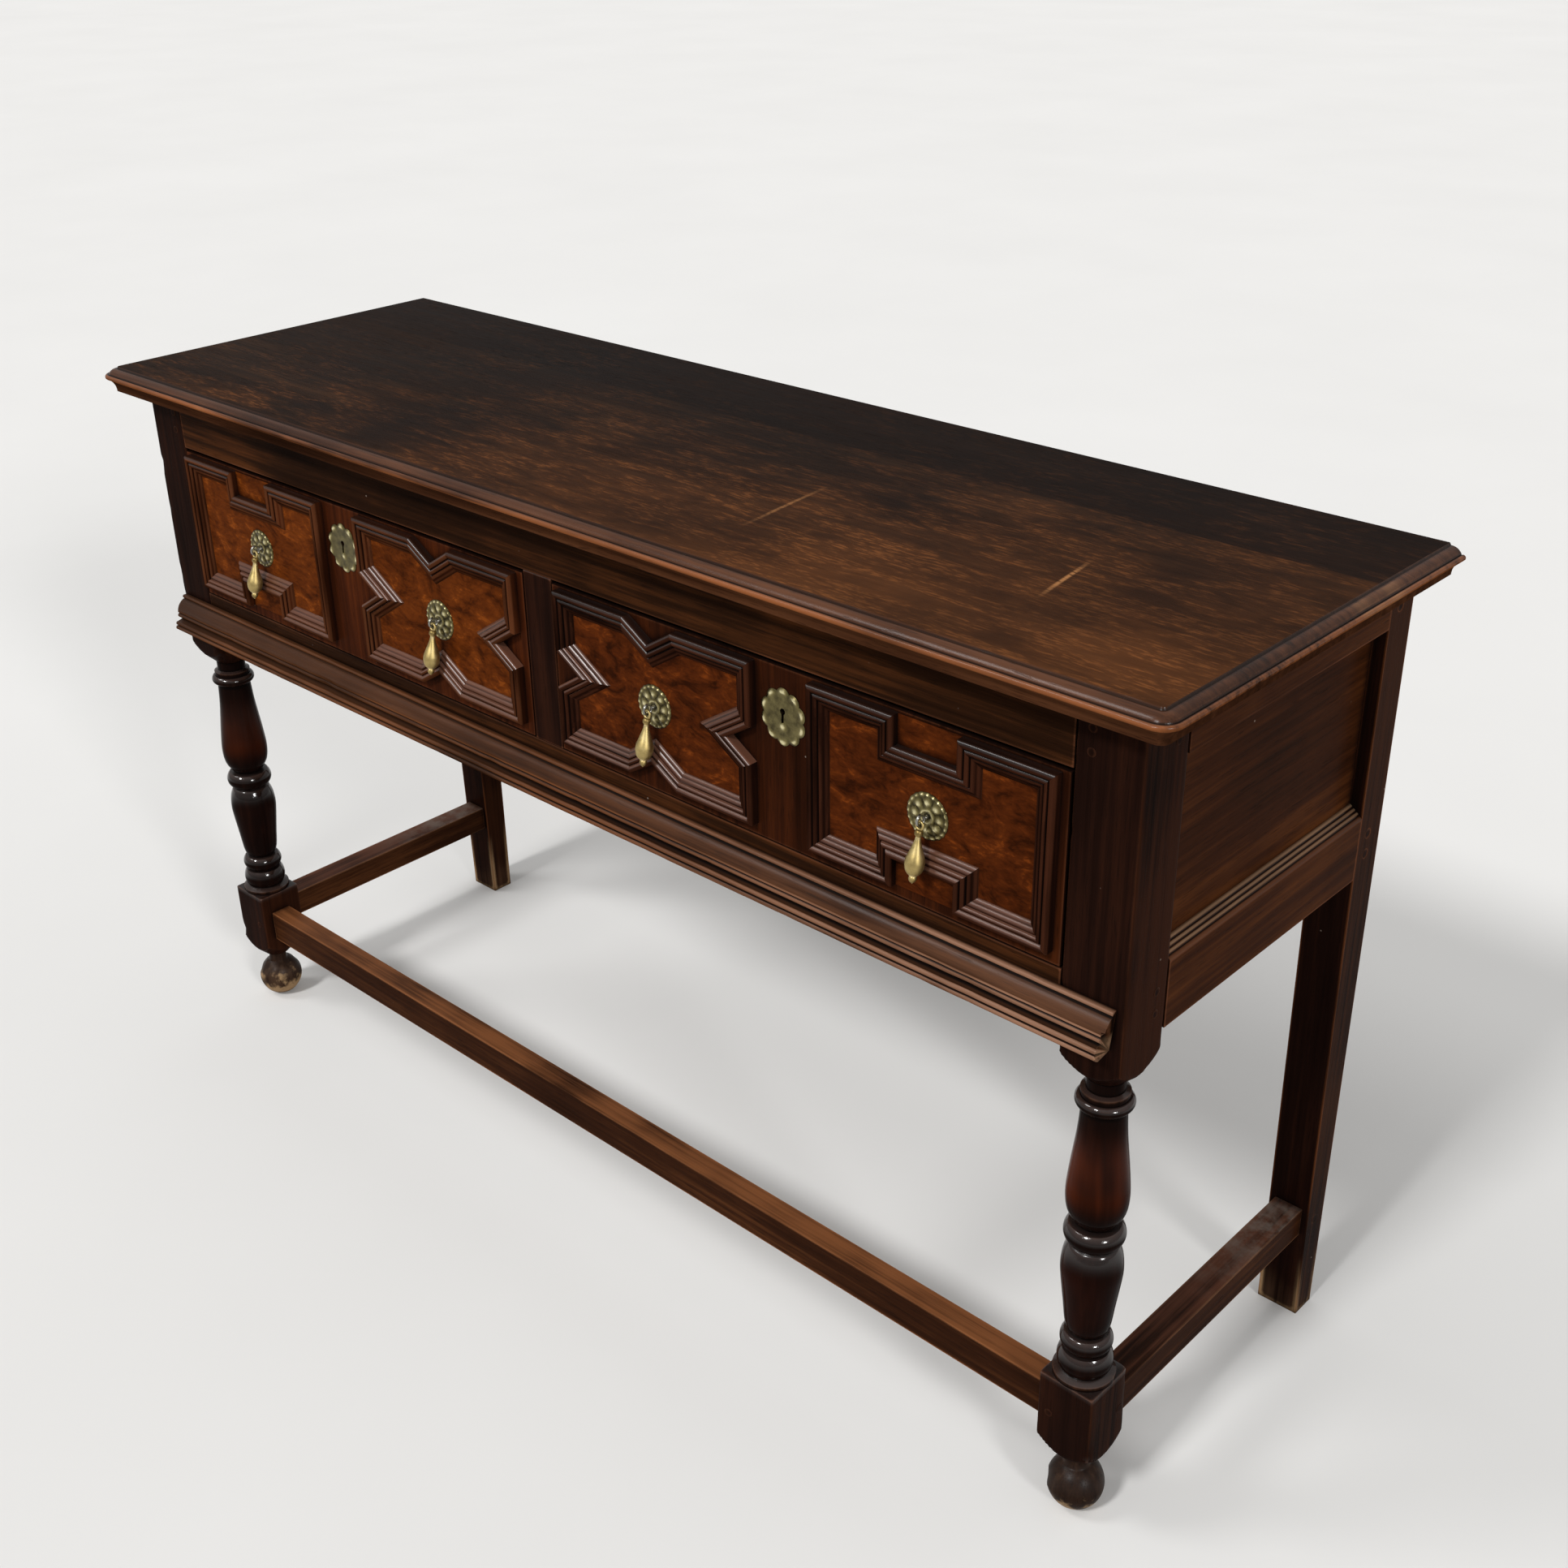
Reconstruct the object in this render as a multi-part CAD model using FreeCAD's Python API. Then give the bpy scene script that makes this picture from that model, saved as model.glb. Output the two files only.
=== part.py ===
import FreeCAD, Part
import math
import os

Vec = FreeCAD.Vector
os.makedirs("parts", exist_ok=True)

# Top: two boards, moulded along the front and both ends.
TOP_LENGTH = 1356.0
TOP_DEPTH = 428.0
OVERALL_HEIGHT = 804.0
TOP_THICK = 26.0
TOP_JOINT_Y = 96.0
TOP_CORNER = 18.0

# Case: half width, front and back faces, underside of the rails.
CASE_HALF = 640.0
FRONT_Y = -179.0
BACK_Y = TOP_DEPTH / 2
CASE_TOP = OVERALL_HEIGHT - TOP_THICK
CASE_FLOOR = 500.0

# Legs: square stile, turned middle and square block at the front, plain posts behind.
STILE = 58.0
STILE_FLOOR = 484.0
BLOCK = 54.0
BLOCK_TOP = 153.0
BLOCK_FLOOR = 84.0
BLOCK_TIP = 60.0
REAR_WIDTH = 42.0
REAR_DEPTH = 38.0
REAR_FOOT_DEPTH = 28.0
FOOT_RADIUS = 26.0
FOOT_CENTRE_Z = 24.5
SPIGOT_RADIUS = 9.0
SPIGOT_LENGTH = 20.0

# Front rails, centre muntin and the moulding along the bottom rail.
RAIL_THICK = 24.0
TOP_RAIL_FLOOR = 725.0
BOTTOM_RAIL_TOP = 556.5
MUNTIN_HALF = 19.0
FRONT_TENON = (-171.0, -163.0)
BASE_MOULDING_HALF = 633.0
BASE_MOULDING_Z = 504.5

# Framed sides.
SIDE_RAIL_THICK = 30.0
SIDE_TOP_RAIL_FLOOR = 734.0
SIDE_BOTTOM_RAIL_TOP = 560.0
PANEL_RECESS = 13.0
PANEL_THICK = 8.0
PANEL_EDGE = 8.0

# Framed back.
BACK_RAIL_Y = (190.0, 210.0)
BACK_PANEL_Y = (197.0, 204.0)
BACK_TOP_RAIL_FLOOR = 730.0
BACK_BOTTOM_RAIL_TOP = 556.0
BACK_MUNTIN_HALF = 22.0

# Stretchers between the blocks and the back legs.
STRETCHER_Y = (-164.0, -140.0)
STRETCHER_Z = (92.0, 129.0)
SIDE_STRETCHER_X = (604.0, 633.0)
SIDE_STRETCHER_Z = (98.0, 129.0)

# Bearers that the grooved drawer sides run on.
BEARER_Z = (632.0, 650.0)
BEARER_REACH = 10.0

# Pegs of the mortise and tenon joints.
PEG_RADIUS = 4.0
RAIL_PEG_LENGTH = 26.0
STRETCHER_PEG_LENGTH = 34.0
PEG_CLEARANCE = 0.05

# Right drawer; the left drawer is its mirror image.
DRAWER_X = (20.5, 580.5)
DRAWER_Z = (558.0, 721.0)
DRAWER_FRONT_THICK = 22.0
DRAWER_SIDE_THICK = 16.0
DRAWER_SIDE_Z = (568.0, 715.0)
DRAWER_BACK_Y = (138.0, 150.0)
DRAWER_BOTTOM_THICK = 8.0
DRAWER_LIP = 10.0
RUNNER_GROOVE_Z = (631.0, 650.3)
RUNNER_GROOVE_DEPTH = 9.0

# Applied mouldings and fielded veneers on the drawer front.
FRAME_Z = (568.5, 719.0)
INNER_FRAME_X = (29.0, 270.0)
OUTER_FRAME_X = (332.5, 573.5)
MOULDING_WIDTH = 20.0
FIELD_THICK = 1.5

# Lock, keyhole plate and drop handles.
LOCK_X = 301.0
KEYHOLE_Z = 680.0
PLATE_Z = 677.5
PLATE_THICK = 2.0
HANDLE_X = (149.5, 453.0)
HANDLE_Z = 641.0
EYE_Y = -189.0
EYE_RADIUS = 4.5
EYE_WIRE = 1.25
ROSE_RADIUS = 20.5
DROP_LEAN = 10.0


def box(x, y, z):
    return Part.makeBox(x[1] - x[0], y[1] - y[0], z[1] - z[0], Vec(x[0], y[0], z[0]))


def centred(half, y, z):
    return box((-half, half), y, z)


def mirrored(shape):
    return shape.mirror(Vec(0, 0, 0), Vec(1, 0, 0))


def both(shape):
    return Part.makeCompound([shape, mirrored(shape)])


def section(steps, place):
    """Closed face: a step of one point is a line, of two an arc, of more a smooth curve."""
    start = place(*steps[0][0])
    last = start
    edges = []
    for step in steps[1:]:
        points = [place(*point) for point in step]
        if len(points) == 1:
            edges.append(Part.makeLine(last, points[0]))
        elif len(points) == 2:
            edges.append(Part.Arc(last, points[0], points[1]).toShape())
        else:
            curve = Part.BSplineCurve()
            curve.interpolate([last] + points)
            edges.append(curve.toShape())
        last = points[-1]
    if last.distanceToPoint(start) > 1e-6:
        edges.append(Part.makeLine(last, start))
    return Part.Face(Part.Wire(edges))


def turned(steps):
    return section(steps, lambda r, z: Vec(r, 0, z)).revolve(Vec(0, 0, 0), Vec(0, 0, 1), 360)


def polygon_block(points, y, depth):
    corners = [Vec(px, y, pz) for px, pz in points]
    face = Part.Face(Part.makePolygon(corners + corners[:1]))
    return face.extrude(Vec(0, depth, 0))


def rod(start, direction, radius, length):
    return Part.makeCylinder(radius, length, start, direction)


def fused(shapes):
    return shapes[0].multiFuse(shapes[1:]).removeSplitter()


def save(name, shape):
    shape.exportStep("parts/" + name + ".step")


def save_pair(name, shape):
    save(name + "_right", shape)
    save(name + "_left", mirrored(shape))


# Top boards: one edge section runs along the front, round the two corners and along the ends.
EDGE_PROFILE = [
    [(17.0, 0.0)],
    [(15.4, 2.6)],
    [(9.6, 3.5), (4.2, 6.8)],
    [(3.9, 7.7)],
    [(0.0, 9.9), (3.6, 12.2)],
    [(3.6, 13.2)],
    [(8.4, 18.8), (10.0, TOP_THICK)],
]


def top_slab():
    half = TOP_LENGTH / 2 - TOP_CORNER
    front_y = TOP_CORNER - TOP_DEPTH / 2
    edge = [[(TOP_CORNER, TOP_THICK)], [(TOP_CORNER, 0.0)]] + EDGE_PROFILE
    front_face = section(edge, lambda u, d: Vec(-half, u - TOP_DEPTH / 2, OVERALL_HEIGHT - d))
    end_face = section(edge, lambda u, d: Vec(TOP_LENGTH / 2 - u, front_y, OVERALL_HEIGHT - d))
    end = end_face.extrude(Vec(0, BACK_Y - front_y, 0))
    corner = end_face.revolve(Vec(half, front_y, 0), Vec(0, 0, 1), -90)
    core = centred(half, (front_y, BACK_Y), (CASE_TOP, OVERALL_HEIGHT))
    front = front_face.extrude(Vec(2 * half, 0, 0))
    return fused([core, front, end, mirrored(end), corner, mirrored(corner)])


slab = top_slab()
joint_cut = box((-700, 700), (TOP_JOINT_Y, BACK_Y + 1), (CASE_TOP - 1, OVERALL_HEIGHT + 1))
save("top_front_board", slab.cut(joint_cut))
save("top_back_board", slab.common(joint_cut))

# Front legs.
STILE_IN = CASE_HALF - STILE
STILE_BACK = FRONT_Y + STILE
LEG_X = CASE_HALF - STILE / 2
LEG_Y = FRONT_Y + STILE / 2
STILE_REACH = STILE / math.sqrt(2.0) + 0.1
BLOCK_REACH = BLOCK / math.sqrt(2.0) + 0.1
LEG_TURNING = [
    [(0.0, BLOCK_TOP)],
    [(26.9, BLOCK_TOP)],
    [(26.9, 157.0)],
    [(21.0, 160.0)],
    [(24.0, 170.5), (20.5, 181.0)],
    [(16.0, 182.0)],
    [(19.0, 183.0)],
    [(22.5, 191.0), (19.0, 199.0)],
    [(15.5, 200.0)],
    [(19.3, 208.0), (22.0, 230.0), (25.4, 258.0), (26.0, 270.0), (24.6, 283.0), (21.0, 292.5)],
    [(18.5, 294.5)],
    [(21.5, 296.0)],
    [(25.7, 305.0), (21.5, 314.0)],
    [(16.5, 315.0)],
    [(19.0, 318.5), (24.4, 329.0), (26.0, 345.0), (24.0, 370.0), (20.0, 405.0), (18.5, 430.0)],
    [(20.8, 431.0)],
    [(24.0, 436.0), (20.8, 441.0)],
    [(20.0, 441.0)],
    [(20.0, 446.0)],
    [(16.0, 448.0)],
    [(16.0, 458.0)],
    [(0.0, 458.0)],
]
STILE_TURNING = [
    [(0.0, 458.0)],
    [(16.5, 458.0)],
    [(STILE_REACH, STILE_FLOOR)],
    [(STILE_REACH, CASE_TOP)],
    [(0.0, CASE_TOP)],
]
BLOCK_TURNING = [
    [(0.0, BLOCK_TIP)],
    [(14.0, BLOCK_TIP)],
    [(BLOCK_REACH, BLOCK_FLOOR)],
    [(BLOCK_REACH, BLOCK_TOP)],
    [(0.0, BLOCK_TOP)],
]


def front_leg():
    wide = (-STILE / 2, STILE / 2)
    narrow = (-BLOCK / 2, BLOCK / 2)
    stile = box(wide, wide, (458.0, CASE_TOP)).common(turned(STILE_TURNING))
    block = box(narrow, narrow, (BLOCK_TIP, BLOCK_TOP)).common(turned(BLOCK_TURNING))
    hole = rod(Vec(0, 0, BLOCK_TIP), Vec(0, 0, 1), SPIGOT_RADIUS + 0.05, SPIGOT_LENGTH + 1)
    leg = fused([block, turned(LEG_TURNING), stile]).cut(hole)
    return leg.translated(Vec(LEG_X, LEG_Y, 0))


def front_foot():
    flat = math.sqrt(FOOT_RADIUS**2 - FOOT_CENTRE_Z**2)
    neck_z = FOOT_CENTRE_Z + math.sqrt(FOOT_RADIUS**2 - 13.0**2)
    steps = [
        [(0.0, 0.0)],
        [(flat, 0.0)],
        [(FOOT_RADIUS, FOOT_CENTRE_Z), (13.0, neck_z)],
        [(11.5, 52.0), (13.0, BLOCK_TIP)],
        [(SPIGOT_RADIUS, BLOCK_TIP)],
        [(SPIGOT_RADIUS, BLOCK_TIP + SPIGOT_LENGTH)],
        [(0.0, BLOCK_TIP + SPIGOT_LENGTH)],
    ]
    return turned(steps).translated(Vec(LEG_X, LEG_Y, 0))


# Back legs, tapered in front below the case.
REAR_IN_X = CASE_HALF - REAR_WIDTH
REAR_IN_Y = BACK_Y - REAR_DEPTH
rear_outline = [
    Vec(REAR_IN_X, BACK_Y, 0.0),
    Vec(REAR_IN_X, BACK_Y, CASE_TOP),
    Vec(REAR_IN_X, REAR_IN_Y, CASE_TOP),
    Vec(REAR_IN_X, REAR_IN_Y, CASE_FLOOR),
    Vec(REAR_IN_X, BACK_Y - REAR_FOOT_DEPTH, 0.0),
]
rear_face = Part.Face(Part.makePolygon(rear_outline + rear_outline[:1]))
back_leg = rear_face.extrude(Vec(REAR_WIDTH, 0, 0))

# Front rails and muntin, with their tenons.
RAIL_Y = (FRONT_Y, FRONT_Y + RAIL_THICK)
RAIL_TENON_X = STILE_IN + 28.0
front_top_rail = fused([
    centred(STILE_IN, RAIL_Y, (TOP_RAIL_FLOOR, CASE_TOP)),
    centred(RAIL_TENON_X, FRONT_TENON, (733.0, 770.0)),
])
front_bottom_rail = fused([
    centred(STILE_IN, RAIL_Y, (CASE_FLOOR, BOTTOM_RAIL_TOP)),
    centred(RAIL_TENON_X, FRONT_TENON, (508.0, 548.0)),
])
centre_muntin = fused([
    centred(MUNTIN_HALF, RAIL_Y, (BOTTOM_RAIL_TOP, TOP_RAIL_FLOOR)),
    centred(11.0, FRONT_TENON, (BOTTOM_RAIL_TOP - 20.0, TOP_RAIL_FLOOR + 20.0)),
])

# Moulding along the bottom rail, with square ends: projection, and height above its underside.
BASE_PROFILE = [
    [(0.0, 0.0)],
    [(17.5, 0.0)],
    [(20.0, 2.3), (17.6, 4.6)],
    [(16.8, 5.0)],
    [(19.0, 7.2), (16.4, 9.4)],
    [(11.0, 11.0)],
    [(12.4, 13.6)],
    [(15.2, 16.0), (12.6, 18.4)],
    [(12.0, 18.8)],
    [(14.5, 19.6)],
    [(12.0, 27.6), (5.0, 33.5)],
    [(3.6, 34.2)],
    [(5.5, 36.1), (4.0, 38.0)],
    [(0.0, 38.0)],
]
base_face = section(
    BASE_PROFILE, lambda p, h: Vec(-BASE_MOULDING_HALF, FRONT_Y - p, BASE_MOULDING_Z + h)
)
front_base_moulding = base_face.extrude(Vec(2 * BASE_MOULDING_HALF, 0, 0))

# Right side: rails, panel and the reeded strip on the bottom rail.
SIDE_Y = (STILE_BACK, REAR_IN_Y)
SIDE_RAIL_X = (CASE_HALF - SIDE_RAIL_THICK, CASE_HALF)
PANEL_X = (CASE_HALF - PANEL_RECESS - PANEL_THICK, CASE_HALF - PANEL_RECESS)
SIDE_TENON_Y = (STILE_BACK - 30.0, REAR_IN_Y + 28.0)
side_panel = box(
    PANEL_X,
    (STILE_BACK - PANEL_EDGE, REAR_IN_Y + PANEL_EDGE),
    (SIDE_BOTTOM_RAIL_TOP - PANEL_EDGE, SIDE_TOP_RAIL_FLOOR + PANEL_EDGE),
)
side_top_rail = fused([
    box(SIDE_RAIL_X, SIDE_Y, (SIDE_TOP_RAIL_FLOOR, CASE_TOP)),
    box(PANEL_X, SIDE_TENON_Y, (SIDE_TOP_RAIL_FLOOR + PANEL_EDGE, 772.0)),
]).cut(side_panel)
side_bottom_rail = fused([
    box(SIDE_RAIL_X, SIDE_Y, (CASE_FLOOR, SIDE_BOTTOM_RAIL_TOP)),
    box(PANEL_X, SIDE_TENON_Y, (508.0, SIDE_BOTTOM_RAIL_TOP - PANEL_EDGE)),
]).cut(side_panel)


def side_moulding():
    run = PANEL_RECESS
    rise = 11.0
    slope = math.hypot(run, rise)
    steps = [[(PANEL_X[1], SIDE_BOTTOM_RAIL_TOP)], [(CASE_HALF, SIDE_BOTTOM_RAIL_TOP)]]
    for reed in range(3):
        middle = (reed + 0.5) / 3.0
        end = (reed + 1.0) / 3.0
        crest = (
            CASE_HALF - run * middle + rise / slope,
            SIDE_BOTTOM_RAIL_TOP + rise * middle + run / slope,
        )
        steps.append([crest, (CASE_HALF - run * end, SIDE_BOTTOM_RAIL_TOP + rise * end)])
    face = section(steps, lambda px, pz: Vec(px, SIDE_Y[0], pz))
    return face.extrude(Vec(0, SIDE_Y[1] - SIDE_Y[0], 0))


# Back: rails, muntin and the right panel.
BACK_TENON_X = REAR_IN_X + 15.0
back_panel = box(
    (BACK_MUNTIN_HALF - PANEL_EDGE, REAR_IN_X + PANEL_EDGE),
    BACK_PANEL_Y,
    (BACK_BOTTOM_RAIL_TOP - PANEL_EDGE, BACK_TOP_RAIL_FLOOR + PANEL_EDGE),
)
back_muntin = fused([
    centred(BACK_MUNTIN_HALF, BACK_RAIL_Y, (BACK_BOTTOM_RAIL_TOP, BACK_TOP_RAIL_FLOOR)),
    centred(12.0, BACK_PANEL_Y, (BACK_BOTTOM_RAIL_TOP - 20.0, BACK_TOP_RAIL_FLOOR + 20.0)),
]).cut(both(back_panel))
back_top_rail = fused([
    centred(REAR_IN_X, BACK_RAIL_Y, (BACK_TOP_RAIL_FLOOR, CASE_TOP)),
    centred(BACK_TENON_X, BACK_PANEL_Y, (BACK_TOP_RAIL_FLOOR + PANEL_EDGE, 770.0)),
]).cut(both(back_panel)).cut(back_muntin)
back_bottom_rail = fused([
    centred(REAR_IN_X, BACK_RAIL_Y, (CASE_FLOOR, BACK_BOTTOM_RAIL_TOP)),
    centred(BACK_TENON_X, BACK_PANEL_Y, (508.0, BACK_BOTTOM_RAIL_TOP - PANEL_EDGE)),
]).cut(both(back_panel)).cut(back_muntin)

# Stretchers, tenoned into the blocks and the back legs.
BLOCK_IN = LEG_X - BLOCK / 2
BLOCK_BACK = LEG_Y + BLOCK / 2
front_stretcher = fused([
    centred(BLOCK_IN, STRETCHER_Y, STRETCHER_Z),
    centred(BLOCK_IN + 22.0, (STRETCHER_Y[0] + 5.0, STRETCHER_Y[1] - 5.0), (99.0, 122.0)),
])
side_stretcher = fused([
    box(SIDE_STRETCHER_X, (BLOCK_BACK, REAR_IN_Y + 8.0), SIDE_STRETCHER_Z),
    box(
        (SIDE_STRETCHER_X[0] + 7.0, SIDE_STRETCHER_X[1] - 7.0),
        (BLOCK_BACK - 18.0, REAR_IN_Y + 28.0),
        (103.0, 124.0),
    ),
])

# Bearers: one on each side and a shared one behind the muntin.
STUB_Z = (BEARER_Z[0] + 3.0, BEARER_Z[1] - 3.0)
side_bearer = fused([
    box((STILE_IN - BEARER_REACH, 616.0), SIDE_Y, BEARER_Z),
    box((584.0, 598.0), (STILE_BACK - 8.0, STILE_BACK), STUB_Z),
    box((602.0, 612.0), (REAR_IN_Y, REAR_IN_Y + 8.0), STUB_Z),
])
centre_bearer = fused([
    centred(MUNTIN_HALF + BEARER_REACH, (STILE_BACK, BACK_RAIL_Y[0]), BEARER_Z),
    centred(MUNTIN_HALF, (RAIL_Y[1], STILE_BACK), BEARER_Z),
    centred(8.0, (RAIL_Y[1] - 8.0, RAIL_Y[1]), STUB_Z),
    centred(8.0, (BACK_RAIL_Y[0], BACK_RAIL_Y[0] + 7.0), STUB_Z),
])

# Joint pegs of the right-hand half, flush with the outer faces.
RAIL_PEGS_X = 596.0
RAIL_PEGS_Z = (742.0, 761.0, 528.0)
SIDE_PEGS_Y = (-136.0, 192.0)
SIDE_PEGS_Z = (750.0, 764.0, 520.0, 540.0)
STRETCHER_PEGS = ((BLOCK_IN + BLOCK, -132.0), (CASE_HALF, 197.0))
STRETCHER_PEGS_Z = 113.0


def pegs(radius):
    inward = Vec(-1, 0, 0)
    backward = Vec(0, 1, 0)
    block_front = Vec(RAIL_PEGS_X, BLOCK_BACK - BLOCK, STRETCHER_PEGS_Z)
    half = [rod(block_front, backward, radius, STRETCHER_PEG_LENGTH)]
    for pz in RAIL_PEGS_Z:
        half.append(rod(Vec(RAIL_PEGS_X, FRONT_Y, pz), backward, radius, RAIL_PEG_LENGTH))
    for px, py in STRETCHER_PEGS:
        start = Vec(px, py, STRETCHER_PEGS_Z)
        half.append(rod(start, inward, radius, STRETCHER_PEG_LENGTH))
    for py in SIDE_PEGS_Y:
        for pz in SIDE_PEGS_Z:
            half.append(rod(Vec(CASE_HALF, py, pz), inward, radius, RAIL_PEG_LENGTH))
    return both(Part.makeCompound(half))


peg_holes = pegs(PEG_RADIUS + PEG_CLEARANCE)

# The bolts of the drawer locks rise into mortises in the top rail.
bolt_mortise = box((LOCK_X - 11.0, LOCK_X + 11.0), (-167.5, -158.5), (TOP_RAIL_FLOOR, 737.0))

leg_cutters = [
    front_top_rail,
    front_bottom_rail,
    side_top_rail,
    side_bottom_rail,
    side_panel,
    side_bearer,
    front_stretcher,
    side_stretcher,
    peg_holes,
]
save_pair("front_leg", front_leg().cut(leg_cutters))
save_pair("front_foot", front_foot())
back_cutters = [
    side_top_rail,
    side_bottom_rail,
    side_panel,
    side_bearer,
    side_stretcher,
    back_top_rail,
    back_bottom_rail,
    back_panel,
    peg_holes,
]
save_pair("back_leg", back_leg.cut(back_cutters))
save("front_top_rail", front_top_rail.cut([centre_muntin, peg_holes, both(bolt_mortise)]))
save("front_bottom_rail", front_bottom_rail.cut([centre_muntin, peg_holes]))
save("centre_muntin", centre_muntin.cut(centre_bearer))
save("front_base_moulding", front_base_moulding)
save_pair("side_top_rail", side_top_rail.cut(peg_holes))
save_pair("side_bottom_rail", side_bottom_rail.cut(peg_holes))
save_pair("side_panel", side_panel)
save_pair("side_moulding", side_moulding())
save("back_top_rail", back_top_rail)
save("back_bottom_rail", back_bottom_rail)
save("back_muntin", back_muntin.cut(centre_bearer))
save_pair("back_panel", back_panel)
save("front_stretcher", front_stretcher.cut(peg_holes))
save_pair("side_stretcher", side_stretcher.cut(peg_holes))
save_pair("side_bearer", side_bearer)
save("centre_bearer", centre_bearer)
save("joint_pegs", pegs(PEG_RADIUS))

# Drawer box: grooved sides, back, bottom and the front board they join.
FRONT_INSIDE = FRONT_Y + DRAWER_FRONT_THICK
TAIL_Y = FRONT_INSIDE - 15.0


def drawer_side(outside, inside):
    """A side runs from its outside face to its inside face, with two dovetails in front."""
    span = (min(outside, inside), max(outside, inside))
    toward = 1.0 if inside > outside else -1.0
    groove_floor = outside + toward * RUNNER_GROOVE_DEPTH
    housing_floor = inside - toward * 4.0
    board = box(span, (FRONT_INSIDE, DRAWER_BACK_Y[1]), DRAWER_SIDE_Z)
    tails = []
    for middle in (600.0, 683.0):
        tail = [
            Vec(span[0], FRONT_INSIDE, middle - 16.0),
            Vec(span[0], FRONT_INSIDE, middle + 16.0),
            Vec(span[0], TAIL_Y, middle + 21.0),
            Vec(span[0], TAIL_Y, middle - 21.0),
        ]
        face = Part.Face(Part.makePolygon(tail + tail[:1]))
        tails.append(face.extrude(Vec(span[1] - span[0], 0, 0)))
    groove = box(
        (min(outside, groove_floor), max(outside, groove_floor)),
        (STILE_BACK - 0.5, DRAWER_BACK_Y[1]),
        RUNNER_GROOVE_Z,
    )
    housing = box(
        (min(inside, housing_floor), max(inside, housing_floor)), DRAWER_BACK_Y, DRAWER_SIDE_Z
    )
    return fused([board] + tails).cut([groove, housing])


inner_side = drawer_side(DRAWER_X[0], DRAWER_X[0] + DRAWER_SIDE_THICK)
outer_side = drawer_side(DRAWER_X[1], DRAWER_X[1] - DRAWER_SIDE_THICK)
drawer_back = box(
    (DRAWER_X[0] + DRAWER_SIDE_THICK - 4.0, DRAWER_X[1] - DRAWER_SIDE_THICK + 4.0),
    DRAWER_BACK_Y,
    DRAWER_SIDE_Z,
)
drawer_bottom = box(
    DRAWER_X,
    (FRONT_Y + DRAWER_LIP, DRAWER_BACK_Y[1]),
    (DRAWER_SIDE_Z[0] - DRAWER_BOTTOM_THICK, DRAWER_SIDE_Z[0]),
)

# Lock let into the back of the front board, its bolt, and the keyhole.
LOCK_Y = (FRONT_INSIDE - 12.0, FRONT_INSIDE)
lock_body = box((LOCK_X - 30.0, LOCK_X + 30.0), LOCK_Y, (668.0, 716.0))
bolt_channel = box((LOCK_X - 10.5, LOCK_X + 10.5), (-166.5, -159.5), (690.0, DRAWER_Z[1]))
lock_bolt = box((LOCK_X - 10.0, LOCK_X + 10.0), (-166.0, -160.0), (693.0, 720.5))
keyhole = fused([
    rod(Vec(LOCK_X, FRONT_Y - 5.0, KEYHOLE_Z + 2.5), Vec(0, 1, 0), 2.8, 22.0),
    box((LOCK_X - 1.3, LOCK_X + 1.3), (FRONT_Y - 5.0, FRONT_Y + 17.0), (672.0, KEYHOLE_Z + 2.5)),
])


def key_plate():
    """Scalloped plate, a little taller than it is wide."""
    lobes = 10
    steps = []
    for index in range(lobes):
        turn = 2.0 * math.pi / lobes
        cusp = (index - 0.5) * turn
        crest = index * turn
        after = (index + 0.5) * turn
        points = [(22.3, cusp), (24.9, crest), (22.3, after)]
        flat = [(r * math.sin(a), 1.04 * r * math.cos(a)) for r, a in points]
        if index == 0:
            steps.append([flat[0]])
        steps.append(flat[1:])
    face = section(steps, lambda px, pz: Vec(LOCK_X + px, FRONT_Y, PLATE_Z + pz))
    return face.extrude(Vec(0, -PLATE_THICK, 0)).cut(keyhole)


# Handles: embossed rose, eye pin through the front, hanging drop.
def rose(px):
    steps = [
        [(2.2, 0.0)],
        [(ROSE_RADIUS, 0.0)],
        [(ROSE_RADIUS, 0.7)],
        [(19.0, 1.9), (17.0, 1.0)],
        [(13.0, 0.9), (9.5, 1.3)],
        [(6.5, 2.3), (3.4, 2.5)],
        [(2.2, 2.5)],
    ]
    disc = turned(steps)
    disc.rotate(Vec(0, 0, 0), Vec(1, 0, 0), 90)
    return disc.translated(Vec(px, FRONT_Y - FIELD_THICK, HANDLE_Z))


def eye_pin(px):
    ring = Part.makeTorus(EYE_RADIUS, EYE_WIRE, Vec(px, EYE_Y, HANDLE_Z), Vec(1, 0, 0))
    shank_start = EYE_Y + EYE_RADIUS
    shank = rod(Vec(px, shank_start, HANDLE_Z), Vec(0, 1, 0), 2.0, FRONT_INSIDE + 1.5 - shank_start)
    bent = (HANDLE_Z - 14.0, HANDLE_Z + 14.0)
    legs = box((px - 1.6, px + 1.6), (FRONT_INSIDE, FRONT_INSIDE + 1.5), bent)
    return fused([ring, shank, legs])


def drop(px):
    steps = [
        [(0.0, 7.4)],
        [(2.6, 8.0)],
        [(3.6, 10.5), (2.6, 13.0)],
        [(2.2, 13.6)],
        [(2.4, 15.5), (3.4, 19.5), (5.2, 25.0), (7.3, 31.0), (8.1, 36.0), (6.6, 42.5), (2.8, 46.5)],
        [(3.3, 48.8), (2.4, 51.0)],
        [(0.0, 53.0)],
    ]
    pear = section(steps, lambda r, d: Vec(r, 0, -d)).revolve(Vec(0, 0, 0), Vec(0, 0, 1), 360)
    ring = Part.makeTorus(3.2, 1.2, Vec(0, 0, -EYE_RADIUS), Vec(0, 1, 0))
    handle = fused([pear, ring])
    handle.rotate(Vec(0, 0, 0), Vec(-1, 0, 0), DROP_LEAN)
    return handle.translated(Vec(px, EYE_Y, HANDLE_Z))


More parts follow.
